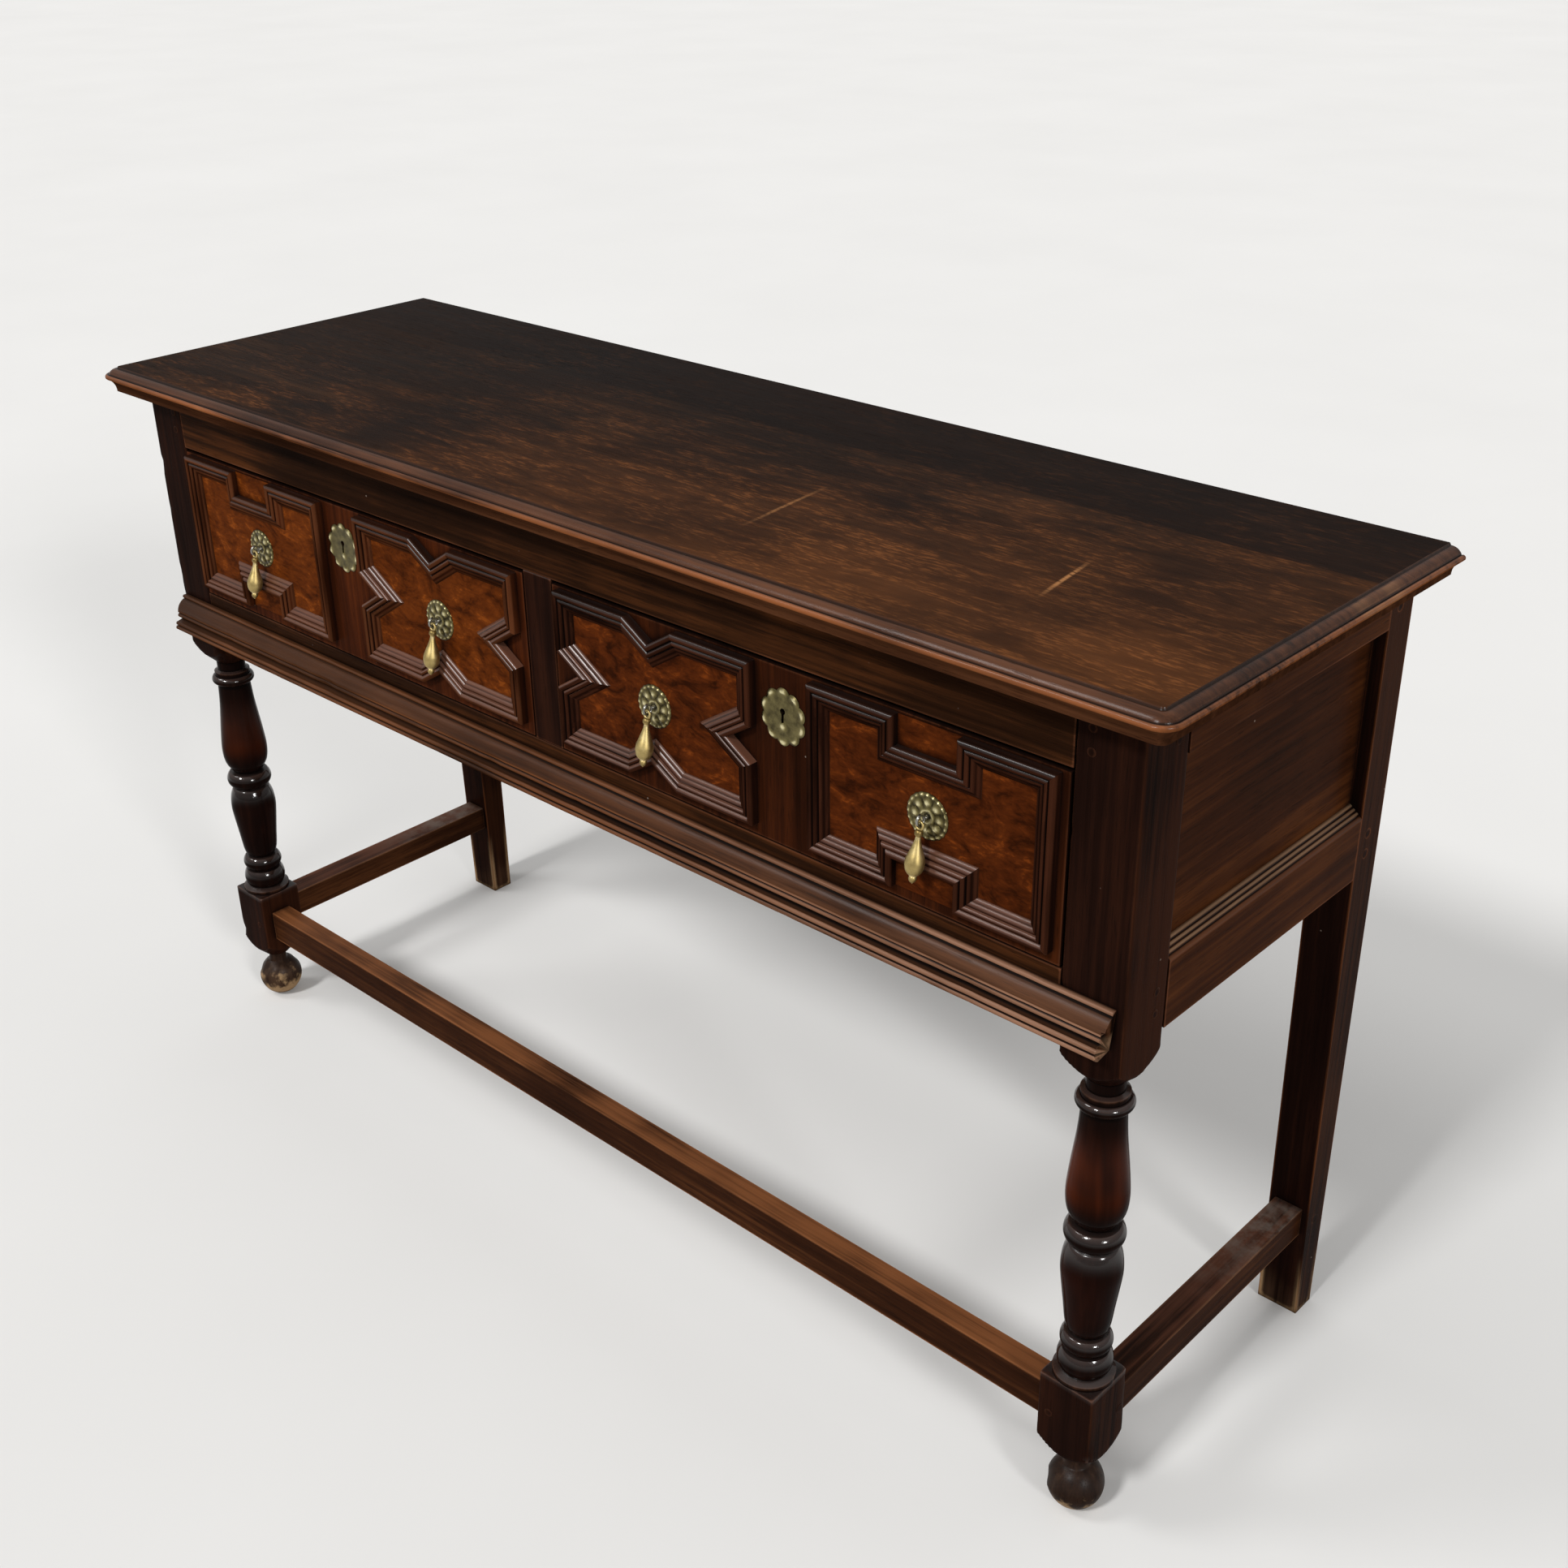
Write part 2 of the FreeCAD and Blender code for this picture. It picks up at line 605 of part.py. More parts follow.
# Frames of applied moulding: face width and height of the section.
FRAME_PROFILE = [
    [(0.0, 0.0)],
    [(0.0, 8.2)],
    [(1.8, 9.5), (3.6, 8.0)],
    [(5.5, 8.6), (7.4, 7.0)],
    [(8.0, 6.2)],
    [(8.6, 6.9)],
    [(13.0, 5.8), (16.0, 3.0)],
    [(MOULDING_WIDTH, 2.5)],
    [(MOULDING_WIDTH, 0.0)],
]
NOTCH_HALF = 31.0
NOTCH_DEPTH = 26.0
VEE_HALF = 29.0
VEE_DEPTH = 18.0
SIDE_VEE_HALF = 17.0
SIDE_VEE_DEPTH = 27.0


def notched_path(x, z):
    middle = (x[0] + x[1]) / 2
    low = [
        (x[0], z[0]),
        (middle - NOTCH_HALF, z[0]),
        (middle - NOTCH_HALF, z[0] + NOTCH_DEPTH),
        (middle + NOTCH_HALF, z[0] + NOTCH_DEPTH),
        (middle + NOTCH_HALF, z[0]),
        (x[1], z[0]),
    ]
    return low + [(px, z[0] + z[1] - pz) for px, pz in reversed(low)]


def vee_path(x, z):
    middle = (x[0] + x[1]) / 2
    centre = (z[0] + z[1]) / 2
    half = [
        (x[0], z[0]),
        (middle - VEE_HALF, z[0]),
        (middle, z[0] + VEE_DEPTH),
        (middle + VEE_HALF, z[0]),
        (x[1], z[0]),
        (x[1], centre - SIDE_VEE_HALF),
        (x[1] - SIDE_VEE_DEPTH, centre),
        (x[1], centre + SIDE_VEE_HALF),
    ]
    return half + [(x[0] + x[1] - px, z[0] + z[1] - pz) for px, pz in half]


def edge_normal(start, end):
    length = math.hypot(end[0] - start[0], end[1] - start[1])
    return ((start[1] - end[1]) / length, (end[0] - start[0]) / length)


def inset(path, distance):
    """Path moved inward by a distance, corner for corner."""
    moved = []
    for index, (px, pz) in enumerate(path):
        before = edge_normal(path[index - 1], path[index])
        after = edge_normal(path[index], path[(index + 1) % len(path)])
        scale = distance / (1.0 + before[0] * after[0] + before[1] * after[1])
        moved.append((px + scale * (before[0] + after[0]), pz + scale * (before[1] + after[1])))
    return moved


def mitred_strips(path):
    outside = inset(path, -5.0)
    inside = inset(path, MOULDING_WIDTH + 5.0)
    strips = []
    for index, start in enumerate(path):
        after = (index + 1) % len(path)
        end = path[after]
        nx, nz = edge_normal(start, end)
        length = math.hypot(end[0] - start[0], end[1] - start[1])
        ahead = Vec(nz, 0, -nx)
        corner = Vec(start[0], FRONT_Y, start[1]) - ahead * 40.0
        face = section(FRAME_PROFILE, lambda u, h: corner + Vec(nx * u, -h, nz * u))
        bar = face.extrude(ahead * (length + 80.0))
        mitre = [outside[index], outside[after], inside[after], inside[index]]
        strips.append(bar.common(polygon_block(mitre, FRONT_Y + 1.0, -14.0)))
    return strips


inner_path = vee_path(INNER_FRAME_X, FRAME_Z)
outer_path = notched_path(OUTER_FRAME_X, FRAME_Z)
mouldings = Part.makeCompound(mitred_strips(inner_path) + mitred_strips(outer_path))

# Fields inside the frames and in the two notches of the outer frame.
notch_middle = (OUTER_FRAME_X[0] + OUTER_FRAME_X[1]) / 2
notch_x = (notch_middle - NOTCH_HALF, notch_middle + NOTCH_HALF)
field_y = (FRONT_Y - FIELD_THICK, FRONT_Y)
pin_holes = Part.makeCompound([
    rod(Vec(px, FRONT_Y - 5.0, HANDLE_Z), Vec(0, 1, 0), 2.2, 30.0) for px in HANDLE_X
])
fields = Part.makeCompound([
    polygon_block(inset(inner_path, MOULDING_WIDTH), FRONT_Y, -FIELD_THICK).cut(pin_holes),
    polygon_block(inset(outer_path, MOULDING_WIDTH), FRONT_Y, -FIELD_THICK).cut(pin_holes),
    box(notch_x, field_y, (FRAME_Z[0], FRAME_Z[0] + NOTCH_DEPTH)),
    box(notch_x, field_y, (FRAME_Z[1] - NOTCH_DEPTH, FRAME_Z[1])),
])

drawer_front = box(DRAWER_X, (FRONT_Y, FRONT_INSIDE), DRAWER_Z).cut([
    box(DRAWER_X, (FRONT_Y + DRAWER_LIP, FRONT_INSIDE), (DRAWER_Z[0], DRAWER_SIDE_Z[0])),
    inner_side,
    outer_side,
    lock_body,
    bolt_channel,
    keyhole,
    pin_holes,
])
fittings = Part.makeCompound([rose(px) for px in HANDLE_X] + [eye_pin(px) for px in HANDLE_X])
right_drawer = {
    "front": drawer_front,
    "inner_side": inner_side,
    "outer_side": outer_side,
    "back": drawer_back,
    "bottom": drawer_bottom,
    "mouldings": mouldings,
    "fields": fields,
    "key_plate": key_plate(),
    "lock_case": lock_body.cut([bolt_channel, keyhole]),
    "lock_bolt": lock_bolt,
    "handle_fittings": fittings,
    "inner_drop": drop(HANDLE_X[0]),
    "outer_drop": drop(HANDLE_X[1]),
}
for piece, shape in right_drawer.items():
    save("right_drawer_" + piece, shape)
    save("left_drawer_" + piece, mirrored(shape))
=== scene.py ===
import math

import bmesh
import bpy
from mathutils import Matrix, Vector, noise
from mathutils.geometry import delaunay_2d_cdt


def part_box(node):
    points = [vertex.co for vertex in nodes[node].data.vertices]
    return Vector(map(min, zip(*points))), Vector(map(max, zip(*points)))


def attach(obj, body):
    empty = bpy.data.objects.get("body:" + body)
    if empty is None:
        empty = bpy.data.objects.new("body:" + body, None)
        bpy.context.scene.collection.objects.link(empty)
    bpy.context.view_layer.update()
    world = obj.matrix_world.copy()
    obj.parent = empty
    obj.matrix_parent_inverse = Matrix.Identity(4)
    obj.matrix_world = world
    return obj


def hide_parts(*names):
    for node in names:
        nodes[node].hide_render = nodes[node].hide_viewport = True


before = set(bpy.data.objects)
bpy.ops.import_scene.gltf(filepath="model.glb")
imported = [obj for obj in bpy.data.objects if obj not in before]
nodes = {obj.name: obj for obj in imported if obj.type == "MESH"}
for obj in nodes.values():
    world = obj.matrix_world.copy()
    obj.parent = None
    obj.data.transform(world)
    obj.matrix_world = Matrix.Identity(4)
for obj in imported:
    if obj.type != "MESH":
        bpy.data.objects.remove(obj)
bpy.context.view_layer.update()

# The photograph's frame and the camera that took it, in metres and degrees.
PHOTO_PIXELS = 1932
FOCAL_PIXELS = 2329.9
SENSOR_MM = 36.0
CAMERA_AT = Vector((1.2503, -1.1866, 1.3326))
CAMERA_AZIMUTH = 43.31
CAMERA_ELEVATION = 27.355
CAMERA_ROLL = -0.927

# Case: the faces that the pieces below sit on.
FRONT_Y = -0.179
TOP_HIGH = 0.804
TOP_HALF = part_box("top_front_board")[1].x
TOP_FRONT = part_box("top_front_board")[0].y
TOP_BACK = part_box("top_back_board")[1].y
TOP_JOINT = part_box("top_front_board")[1].y
TOP_CORNER = 0.018
TOP_BEAD = (0.0076, 0.0135)
LEG_X, LEG_Y = 0.611, -0.150
# Square posts of a front leg: width, bottom and top of the cone, top, and how far the rim is eased.
STILE = (0.058, 0.458, 0.484, 0.778, 0.0)
BLOCK = (0.054, 0.060, 0.084, 0.153, 0.0012)
CONE_RADIUS = 0.015
CORNER_POWER = 26.0
KNOCK_FROM, KNOCK_SPAN = 1.2, 0.17
PEG_PROUD = 0.0003
EASE, LEG_EASE, STRETCHER_EASE, FINE_EASE = 0.0011, 0.0016, 0.0018, 0.0004

# Drawer fronts: frames of moulding, handles and key plates of the right-hand drawer.
FRAME_Z = (0.5685, 0.719)
INNER_FRAME_X = (0.029, 0.270)
OUTER_FRAME_X = (0.3325, 0.5735)
NOTCH_HALF, NOTCH_DEPTH = 0.031, 0.026
VEE_HALF, VEE_DEPTH = 0.029, 0.018
SIDE_VEE_HALF, SIDE_VEE_DEPTH = 0.017, 0.027
MITRE_GAP = 0.00008
FIELD_THICK = 0.0015
HANDLES = {"inner": 0.1495, "outer": 0.453}
HANDLE_Z = 0.641
EYE_Y = -0.189
EYE_RADIUS, EYE_WIRE = 0.0045, 0.00125
RING_RADIUS, RING_WIRE = 0.0032, 0.0012
SHANK_RADIUS, SHANK_EASE = 0.002, 0.0006
CLENCH_LENGTH, CLENCH_HALF = 0.013, 0.0016
ROSE_RADIUS, ROSE_HOLE = 0.0205, 0.0022
ROSE_BEADS, ROSE_LEAVES = 20, 8
DROP_LEAN = 10.0
LOCK_X, PLATE_Z, KEYHOLE_Z = 0.301, 0.6775, 0.680
PLATE_STRETCH, PLATE_LOBES = 1.04, 10
PLATE_REACH, LOBE_REACH = 0.0217, 0.0032
KEYHOLE_RADIUS, KEYHOLE_HALF, KEYHOLE_FOOT = 0.0028, 0.0013, 0.672

# Wear: scale, rarity and depth of the chips, scale and size of the waviness.
TOP_CHIPS, TOP_SWAY = (45.0, 0.28, 0.0022), (18.0, 0.0003)
POST_CHIPS = (38.0, 0.22, 0.004)
FOOT_CHIPS, FOOT_SWAY = (55.0, 0.1, 0.004), (24.0, 0.0006)
REED_CHIPS = (50.0, 0.3, 0.0015)
BASE_CHIPS, BASE_SWAY = (40.0, 0.25, 0.003), (20.0, 0.0002)
FRAME_CHIPS, FRAME_SWAY = (60.0, 0.3, 0.0016), (25.0, 0.00012)
# Scratches on the top: middle x and y, slant, half length and strength.
SCRATCHES = [(0.478, -0.05, 0.16, 0.05, 0.65), (0.2, -0.065, 0.1, 0.07, 0.34)]

# Outlines in millimetres: a step of one point is a line, of two an arc, of more a smooth curve.
TOP_EDGE = [
    [(14.8, 0.0)], [(13.6, 2.0)], [(8.6, 3.0), (4.2, 7.0)], [(3.9, 7.9)],
    [(0.0, 9.9), (3.6, 12.2)], [(3.6, 13.2)], [(8.4, 18.8), (10.0, 26.0)],
]
BASE_PROFILE = [
    [(17.5, 0.0)], [(20.0, 2.3), (17.6, 4.6)], [(16.8, 5.0)], [(19.0, 7.2), (16.4, 9.4)],
    [(11.0, 11.0)], [(12.4, 13.6)], [(15.2, 16.0), (12.6, 18.4)], [(12.0, 18.8)],
    [(14.5, 19.6)], [(12.0, 27.6), (5.0, 33.5)], [(3.6, 34.2)], [(5.5, 36.1), (4.0, 38.0)],
]
FRAME_PROFILE = [
    [(0.0, 0.0)], [(0.0, 7.2)], [(2.9, 9.5), (5.9, 7.7)], [(6.4, 7.1)],
    [(8.8, 8.6), (11.0, 6.4)], [(11.4, 5.5)], [(12.0, 6.3)], [(14.2, 5.9), (15.7, 4.6)],
    [(16.1, 4.3)], [(18.3, 3.4), (19.6, 1.7)], [(20.0, 1.6)], [(20.0, 0.0)],
]
LEG_TURNING = [
    [(26.9, 153.0)], [(26.9, 157.0)], [(21.0, 160.0)], [(24.0, 170.5), (20.5, 181.0)],
    [(16.0, 182.0)], [(19.0, 183.0)], [(22.5, 191.0), (19.0, 199.0)], [(15.5, 200.0)],
    [(19.3, 208.0), (22.0, 230.0), (25.4, 258.0), (26.0, 270.0), (24.6, 283.0), (21.0, 292.5)],
    [(18.5, 294.5)], [(21.5, 296.0)], [(25.7, 305.0), (21.5, 314.0)], [(16.5, 315.0)],
    [(19.0, 318.5), (24.4, 329.0), (26.0, 345.0), (24.0, 370.0), (20.0, 405.0), (18.5, 430.0)],
    [(20.8, 431.0)], [(24.0, 436.0), (20.8, 441.0)], [(20.0, 441.0)], [(20.0, 446.0)],
    [(16.0, 448.0)], [(16.0, 458.0)],
]
FOOT_PROFILE = [[(8.7, 0.0)], [(26.0, 24.5), (13.0, 47.0)], [(11.5, 52.0), (13.0, 60.0)]]
REED_PROFILE = [
    [(640.0, 560.0)], [(638.83, 561.9), (636.75, 562.75)], [(635.58, 564.65), (633.5, 565.5)],
    [(632.33, 567.4), (630.25, 568.25)], [(629.08, 570.15), (627.0, 571.0)],
]
DROP_PROFILE = [
    [(0.2, -7.4)], [(2.6, -8.0)], [(3.6, -10.5), (2.6, -13.0)], [(2.2, -13.6)],
    [
        (2.4, -15.5), (3.4, -19.5), (5.2, -25.0), (7.3, -31.0),
        (8.1, -36.0), (6.6, -42.5), (2.8, -46.5),
    ],
    [(3.3, -48.8), (2.4, -51.0)], [(0.2, -53.0)],
]

# Shades as they are seen, 0 to 255, in threes: dark, middle and light.
RAIL_SHADES = ((18, 8, 4), (36, 19, 9), (76, 42, 20))
STILE_SHADES = ((14, 6, 4), (25, 12, 8), (40, 20, 12))
SIDE_SHADES = ((30, 14, 6), (47, 23, 10), (72, 39, 17))
STRETCHER_SHADES = ((26, 12, 6), (44, 23, 12), (74, 43, 23))
FRONT_SHADES = ((24, 9, 4), (40, 17, 7), (60, 27, 10))
# Painted light: lighter copy for the left drawer, which stands nearer the light.
LEFT_FRONT_LIT_SHADES = ((32, 13, 5), (54, 23, 9), (80, 37, 14))
LEG_SHADES = ((9, 4, 3), (16, 7, 5), (28, 13, 8))
FOOT_SHADES = ((22, 13, 9), (38, 25, 18), (62, 45, 33))
BASE_SHADES = ((24, 12, 6), (47, 26, 14), (76, 46, 27))
FRAME_SHADES = ((14, 6, 4), (27, 12, 7), (52, 26, 15))
# Painted light: lighter copy for the left drawer, which stands nearer the light.
LEFT_FRAME_LIT_SHADES = ((24, 9, 4), (45, 20, 9), (77, 38, 19))
VENEER_SHADES = ((44, 17, 5), (66, 28, 8), (90, 41, 12))
# Painted light: lighter copy for the left drawer, which stands nearer the light.
LEFT_VENEER_LIT_SHADES = ((56, 23, 5), (80, 36, 9), (104, 50, 14))
TOP_SHADES = ((19, 12, 8), (34, 22, 15), (54, 36, 24))
BACK_SHADES = ((14, 9, 7), (22, 15, 12), (36, 25, 20))
EDGE_SHADES = ((34, 18, 10), (56, 32, 19), (82, 50, 31))
INNER_SHADES = ((70, 46, 28), (98, 68, 42), (124, 90, 58))
BEHIND_SHADES = ((46, 30, 19), (70, 47, 30), (96, 68, 44))
IRON_SHADES = ((40, 36, 33), (74, 68, 62), (98, 72, 52))
ROSE_SHADES = ((62, 55, 34), (134, 123, 81), (228, 218, 172))
DROP_SHADES = ((126, 106, 64), (178, 157, 103), (222, 206, 158))
STEEL_SHADES = ((86, 84, 78), (140, 138, 130), (188, 186, 178))
FLOOR_SHADES = ((216, 215, 213), (219, 218, 216))
# The middle colour darkens pores and is painted into grooves as shade and soiling; the last is
# painted into hollows as soiling and shade.
WORN, GROOVE, GRIME_AND_SHADE = (96, 58, 38), (14, 8, 6), (12, 7, 6)
# Gloss of faces that look down or sideways, and of faces that look up.
CASE_POLISH = (0.004, 0.05)


def linear(level):
    level /= 255.0
    return level / 12.92 if level <= 0.04045 else ((level + 0.055) / 1.055) ** 2.4


def tone(red, green, blue):
    """Colour as it is seen, 0 to 255, as a shader colour."""
    return (linear(red), linear(green), linear(blue), 1.0)


class Finish:
    """One node material, built up from texture steps."""

    def __init__(self, name, metallic=0.0, specular=0.5):
        self.material = bpy.data.materials.new(name)
        self.material.use_nodes = True
        tree = self.material.node_tree
        self.nodes, self.links = tree.nodes, tree.links
        self.nodes.clear()
        output = self.nodes.new("ShaderNodeOutputMaterial")
        self.shader = self.nodes.new("ShaderNodeBsdfPrincipled")
        self.links.new(self.shader.outputs["BSDF"], output.inputs["Surface"])
        self.shader.inputs["Metallic"].default_value = metallic
        self.shader.inputs["Specular IOR Level"].default_value = specular
        self.space = self.add("TexCoord").outputs["Object"]
        self.place = self.space

    def add(self, kind, inputs=None, **settings):
        node = self.nodes.new("ShaderNode" + kind)
        for key, value in settings.items():
            setattr(node, key, value)
        for key, value in (inputs or {}).items():
            self.put(node.inputs[key], value)
        return node

    def put(self, socket, value):
        if isinstance(value, bpy.types.NodeSocket):
            self.links.new(value, socket)
        else:
            socket.default_value = value

    def math(self, operation, first, second=0.0):
        return self.add("Math", {0: first, 1: second}, operation=operation).outputs[0]

    def total(self, *parts):
        """Sum of values, each with its share."""
        result = 0.0
        for value, share in parts:
            node = self.add("Math", {0: value, 1: share, 2: result}, operation="MULTIPLY_ADD")
            result = node.outputs[0]
        return result

    def span(self, value, low, high, start=0.0, end=1.0):
        """Smooth step from start to end, as the value goes from low to high."""
        inputs = {"Value": value, "From Min": low, "From Max": high, "To Min": start, "To Max": end}
        return self.add("MapRange", inputs, interpolation_type="SMOOTHSTEP").outputs[0]

    def mask(self, *parts):
        """Product of the parts; a part in brackets is a smooth step, as span takes it."""
        values = [self.span(*part) if isinstance(part, tuple) else part for part in parts]
        result = values[0]
        for value in values[1:]:
            result = self.math("MULTIPLY", result, value)
        return result

    def axis(self, letter):
        return self.add("SeparateXYZ", {0: self.space}).outputs[letter]

    def facing(self, letter):
        """How far the surface faces along an axis, from -1 to 1."""
        normal = self.add("NewGeometry").outputs["Normal"]
        return self.add("SeparateXYZ", {0: normal}).outputs[letter]

    def attribute(self, name):
        return self.add("Attribute", attribute_name=name).outputs["Fac"]

    def noise(self, scale, detail=4.0, roughness=0.55, distortion=0.0, turn=0.0):
        """Cloudy noise; three scales stretch it along the axes, and turn turns it about Z."""
        place = self.place
        if isinstance(scale, tuple):
            inputs = {"Vector": place, "Scale": scale, "Rotation": (0.0, 0.0, turn)}
            place, scale = self.add("Mapping", inputs).outputs[0], 1.0
        inputs = {
            "Vector": place,
            "Scale": scale,
            "Detail": detail,
            "Roughness": roughness,
            "Distortion": distortion,
        }
        return self.add("TexNoise", inputs).outputs[0]

    def cavity(self, distance, **settings):
        """Near 1 in corners and grooves, 0 on open faces."""
        node = self.add("AmbientOcclusion", {"Distance": distance}, samples=8, **settings)
        return self.math("SUBTRACT", 1.0, node.outputs["AO"])

    def edge(self, distance):
        """Near 0.5 on outside edges, 0 on flat faces."""
        return self.cavity(distance, inside=True, only_local=True)

    def ramp(self, value, positions, shades):
        """Start the colour from shades at positions of a value."""
        node = self.add("ValToRGB", {0: value})
        elements = node.color_ramp.elements
        while len(elements) < len(shades):
            elements.new(0.5)
        for element, position, shade in zip(elements, positions, shades):
            element.position = position
            element.color = tone(*shade)
        self.colour = node.outputs[0]

    def paint(self, shade, *parts):
        """Lay a shade over the colour, as far as the product of the parts says."""
        inputs = {0: self.mask(*parts), 6: self.colour, 7: tone(*shade)}
        self.colour = self.add("Mix", inputs, data_type="RGBA").outputs[2]

    def polish(self, dull, bright):
        """Gloss that grows where the surface faces up and is dusted and rubbed."""
        socket = self.shader.inputs["Specular IOR Level"]
        socket.default_value = (dull + bright) / 2
        self.put(socket, self.span(self.facing("Z"), 0.05, 0.5, dull, bright))

    def finish(self, roughness, height, strength=0.3, distance=0.0004):
        bump = self.add("Bump", {"Strength": strength, "Distance": distance, "Height": height})
        self.put(self.shader.inputs["Base Color"], self.colour)
        self.put(self.shader.inputs["Roughness"], roughness)
        self.put(self.shader.inputs["Normal"], bump.outputs[0])
        return self.material


def along(grain, length, cross):
    """Texture scale that is drawn out along one axis."""
    return tuple(length if letter == grain else cross for letter in "XYZ")


class Oak(Finish):
    """Old polished oak: fibres, bands, pores, clouded patina, and soiling with painted shade in the
    corners.

    With strip, the grain runs along the piece's moulding, not along an axis of the frame.
    """

    def __init__(self, name, grain, shades, polish=CASE_POLISH, lines=1.0, strip=False):
        super().__init__(name)
        self.polish(*polish)
        if strip:
            self.place = self.add("UVMap", uv_map="strip").outputs[0]
        band = along(grain, 1.6, 17.0 * lines)
        self.fibre = self.noise(along(grain, 4.0, 150.0 * lines), detail=5.0, roughness=0.62)
        self.band = self.noise(band, detail=3.0, roughness=0.5, distortion=0.9)
        self.cloud = self.noise(6.0, detail=3.0)
        self.pore = self.span(self.noise(along(grain, 45.0, 900.0), detail=2.0), 0.56, 0.72)
        value = self.total((self.fibre, 0.42), (self.band, 0.34), (self.cloud, 0.24))
        self.ramp(value, (0.36, 0.5, 0.64), shades)
        self.paint(GROOVE, self.pore, 0.55)

    # Painted shade with soiling: corners, grooves and recesses are darkened by ambient occlusion.
    def grime_and_shade(self, distance=0.016, amount=0.85, shade=GRIME_AND_SHADE):
        self.hollow_darkening = self.span(self.cavity(distance), 0.15, 0.6, 0.0, amount)
        self.paint(shade, self.hollow_darkening)

    def rub(self, shade, amount, *parts):
        """Worn places, broken up by the grain."""
        broken = self.total((self.cloud, 0.6), (self.fibre, 0.6))
        self.paint(shade, *parts, (broken, 0.42, 0.72), amount)

    def paint_lit_flanks(self, shade):
        """Painted light: faces towards the ends painted warmer and lighter than the front, as lit
        from the side.
        """
        flank = self.math("ABSOLUTE", self.facing("X"))
        self.rub(shade, 0.8, (flank, 0.5, 0.9))

    def aged(self, worn=WORN, rubbed=0.8):
        """Rubbed edges, soiling and painted shade in hollows, a few pale specks of old paint, as on
        all plain parts.
        """
        self.rub(worn, rubbed, (self.edge(0.003), 0.12, 0.42))
        self.grime_and_shade()
        dots = self.add("TexVoronoi", {"Vector": self.place, "Scale": 45.0}).outputs["Distance"]
        some = self.noise(21.0, detail=1.0)
        self.paint((150, 136, 124), (dots, 0.05, 0.025), (some, 0.55, 0.62, 0.0, 0.5))
        return self.done()

    def done(self, gloss=0.3, strength=0.3):
        rough = self.total(
            (self.fibre, 0.16), (self.cloud, 0.14), (self.pore, 0.12), (self.hollow_darkening, 0.25)
        )
        rough = self.math("ADD", rough, gloss - 0.15)
        height = self.total((self.fibre, 0.5), (self.pore, -0.6))
        return self.finish(rough, height, strength)


def dark_oak(name, grain, shades, worn=WORN, rubbed=0.8, upper=None, dusty=None):
    """Polished oak of the case.

    upper: lighter shade painted on upward faces, as wear and light from above; dusty: Y stretch of
    dust.
    """
    wood = Oak(name, grain, shades)
    if upper:
        # Painted light with wear: upward faces made lighter.
        wood.rub(upper, 0.8, (wood.facing("Z"), 0.4, 0.9))
    if dusty:
        patch = wood.noise(38.0, detail=5.0, roughness=0.65)
        reach = (wood.axis("Y"), *dusty, 0.0, 0.65)
        wood.paint((116, 105, 96), (wood.facing("Z"), 0.4, 0.9), (patch, 0.36, 0.66), reach)
    return wood.aged(worn, rubbed)


def post_oak(name):
    """Square parts of the front legs and the muntin."""
    wood = Oak(name, "Z", STILE_SHADES, (0.004, 0.5))
    wood.paint_lit_flanks((46, 23, 12))
    return wood.aged()


def back_leg_oak(name):
    """Square leg, bare and scuffed at the floor."""
    wood = Oak(name, "Z", STILE_SHADES)
    wood.paint_lit_flanks((50, 27, 15))
    low = wood.total((wood.axis("Z"), -9.0), (wood.cloud, 1.2))
    wood.rub((96, 72, 54), 0.3, (low, 0.1, 0.55))
    wood.rub((176, 142, 104), 0.9, (wood.edge(0.008), 0.1, 0.4), (low, -0.2, 0.3))
    return wood.aged((104, 60, 34))


def top_oak(name, shades, fleck, flecks):
    """Plank with short pale flecks, warmest along the front and towards the right."""
    wood = Oak(name, "X", shades, (0.0, 0.008))
    x, y = wood.axis("X"), wood.axis("Y")
    ray = wood.noise((14.0, 60.0, 14.0), distortion=0.8, turn=-0.12)
    short = wood.noise((80.0, 420.0, 80.0), detail=3.0, roughness=0.6, turn=0.16)
    stain = wood.noise((4.0, 22.0, 4.0), detail=5.0, roughness=0.6, distortion=0.6)
    shadow = wood.noise(5.0, detail=5.0, roughness=0.6, distortion=0.4)
    warm = wood.total((x, 0.6), (y, -1.9), (wood.cloud, 0.7), (ray, 0.8))
    warm = wood.span(warm, 0.55, 1.5)
    wood.paint(fleck, warm, 0.44)
    most = (warm, -0.4, 0.9, 0.05, 1.0)
    wood.paint((132, 80, 42), (short, 0.46, 0.66), (ray, 0.4, 0.6), most, flecks)
    wood.paint((28, 17, 12), (stain, 0.46, 0.7, 0.0, 0.5))
    shadow = wood.total((shadow, 1.0), (y, 0.55))
    wood.paint((25, 16, 12), (shadow, 0.32, 0.64, 0.0, 0.62))
    for middle_x, middle_y, slope, length, amount in SCRATCHES:
        across = wood.total((x, 1.0), (y, slope), (wood.cloud, 0.006))
        across = wood.math("SUBTRACT", across, middle_x + middle_y * slope + 0.003)
        line = (wood.math("ABSOLUTE", across), 0.003, 0.0005)
        run = (wood.math("ABSOLUTE", wood.math("SUBTRACT", y, middle_y)), length, 0.0)
        wood.paint((184, 128, 80), line, run, (short, 0.3, 0.5), amount)
    wood.grime_and_shade()
    return wood.done(0.36)


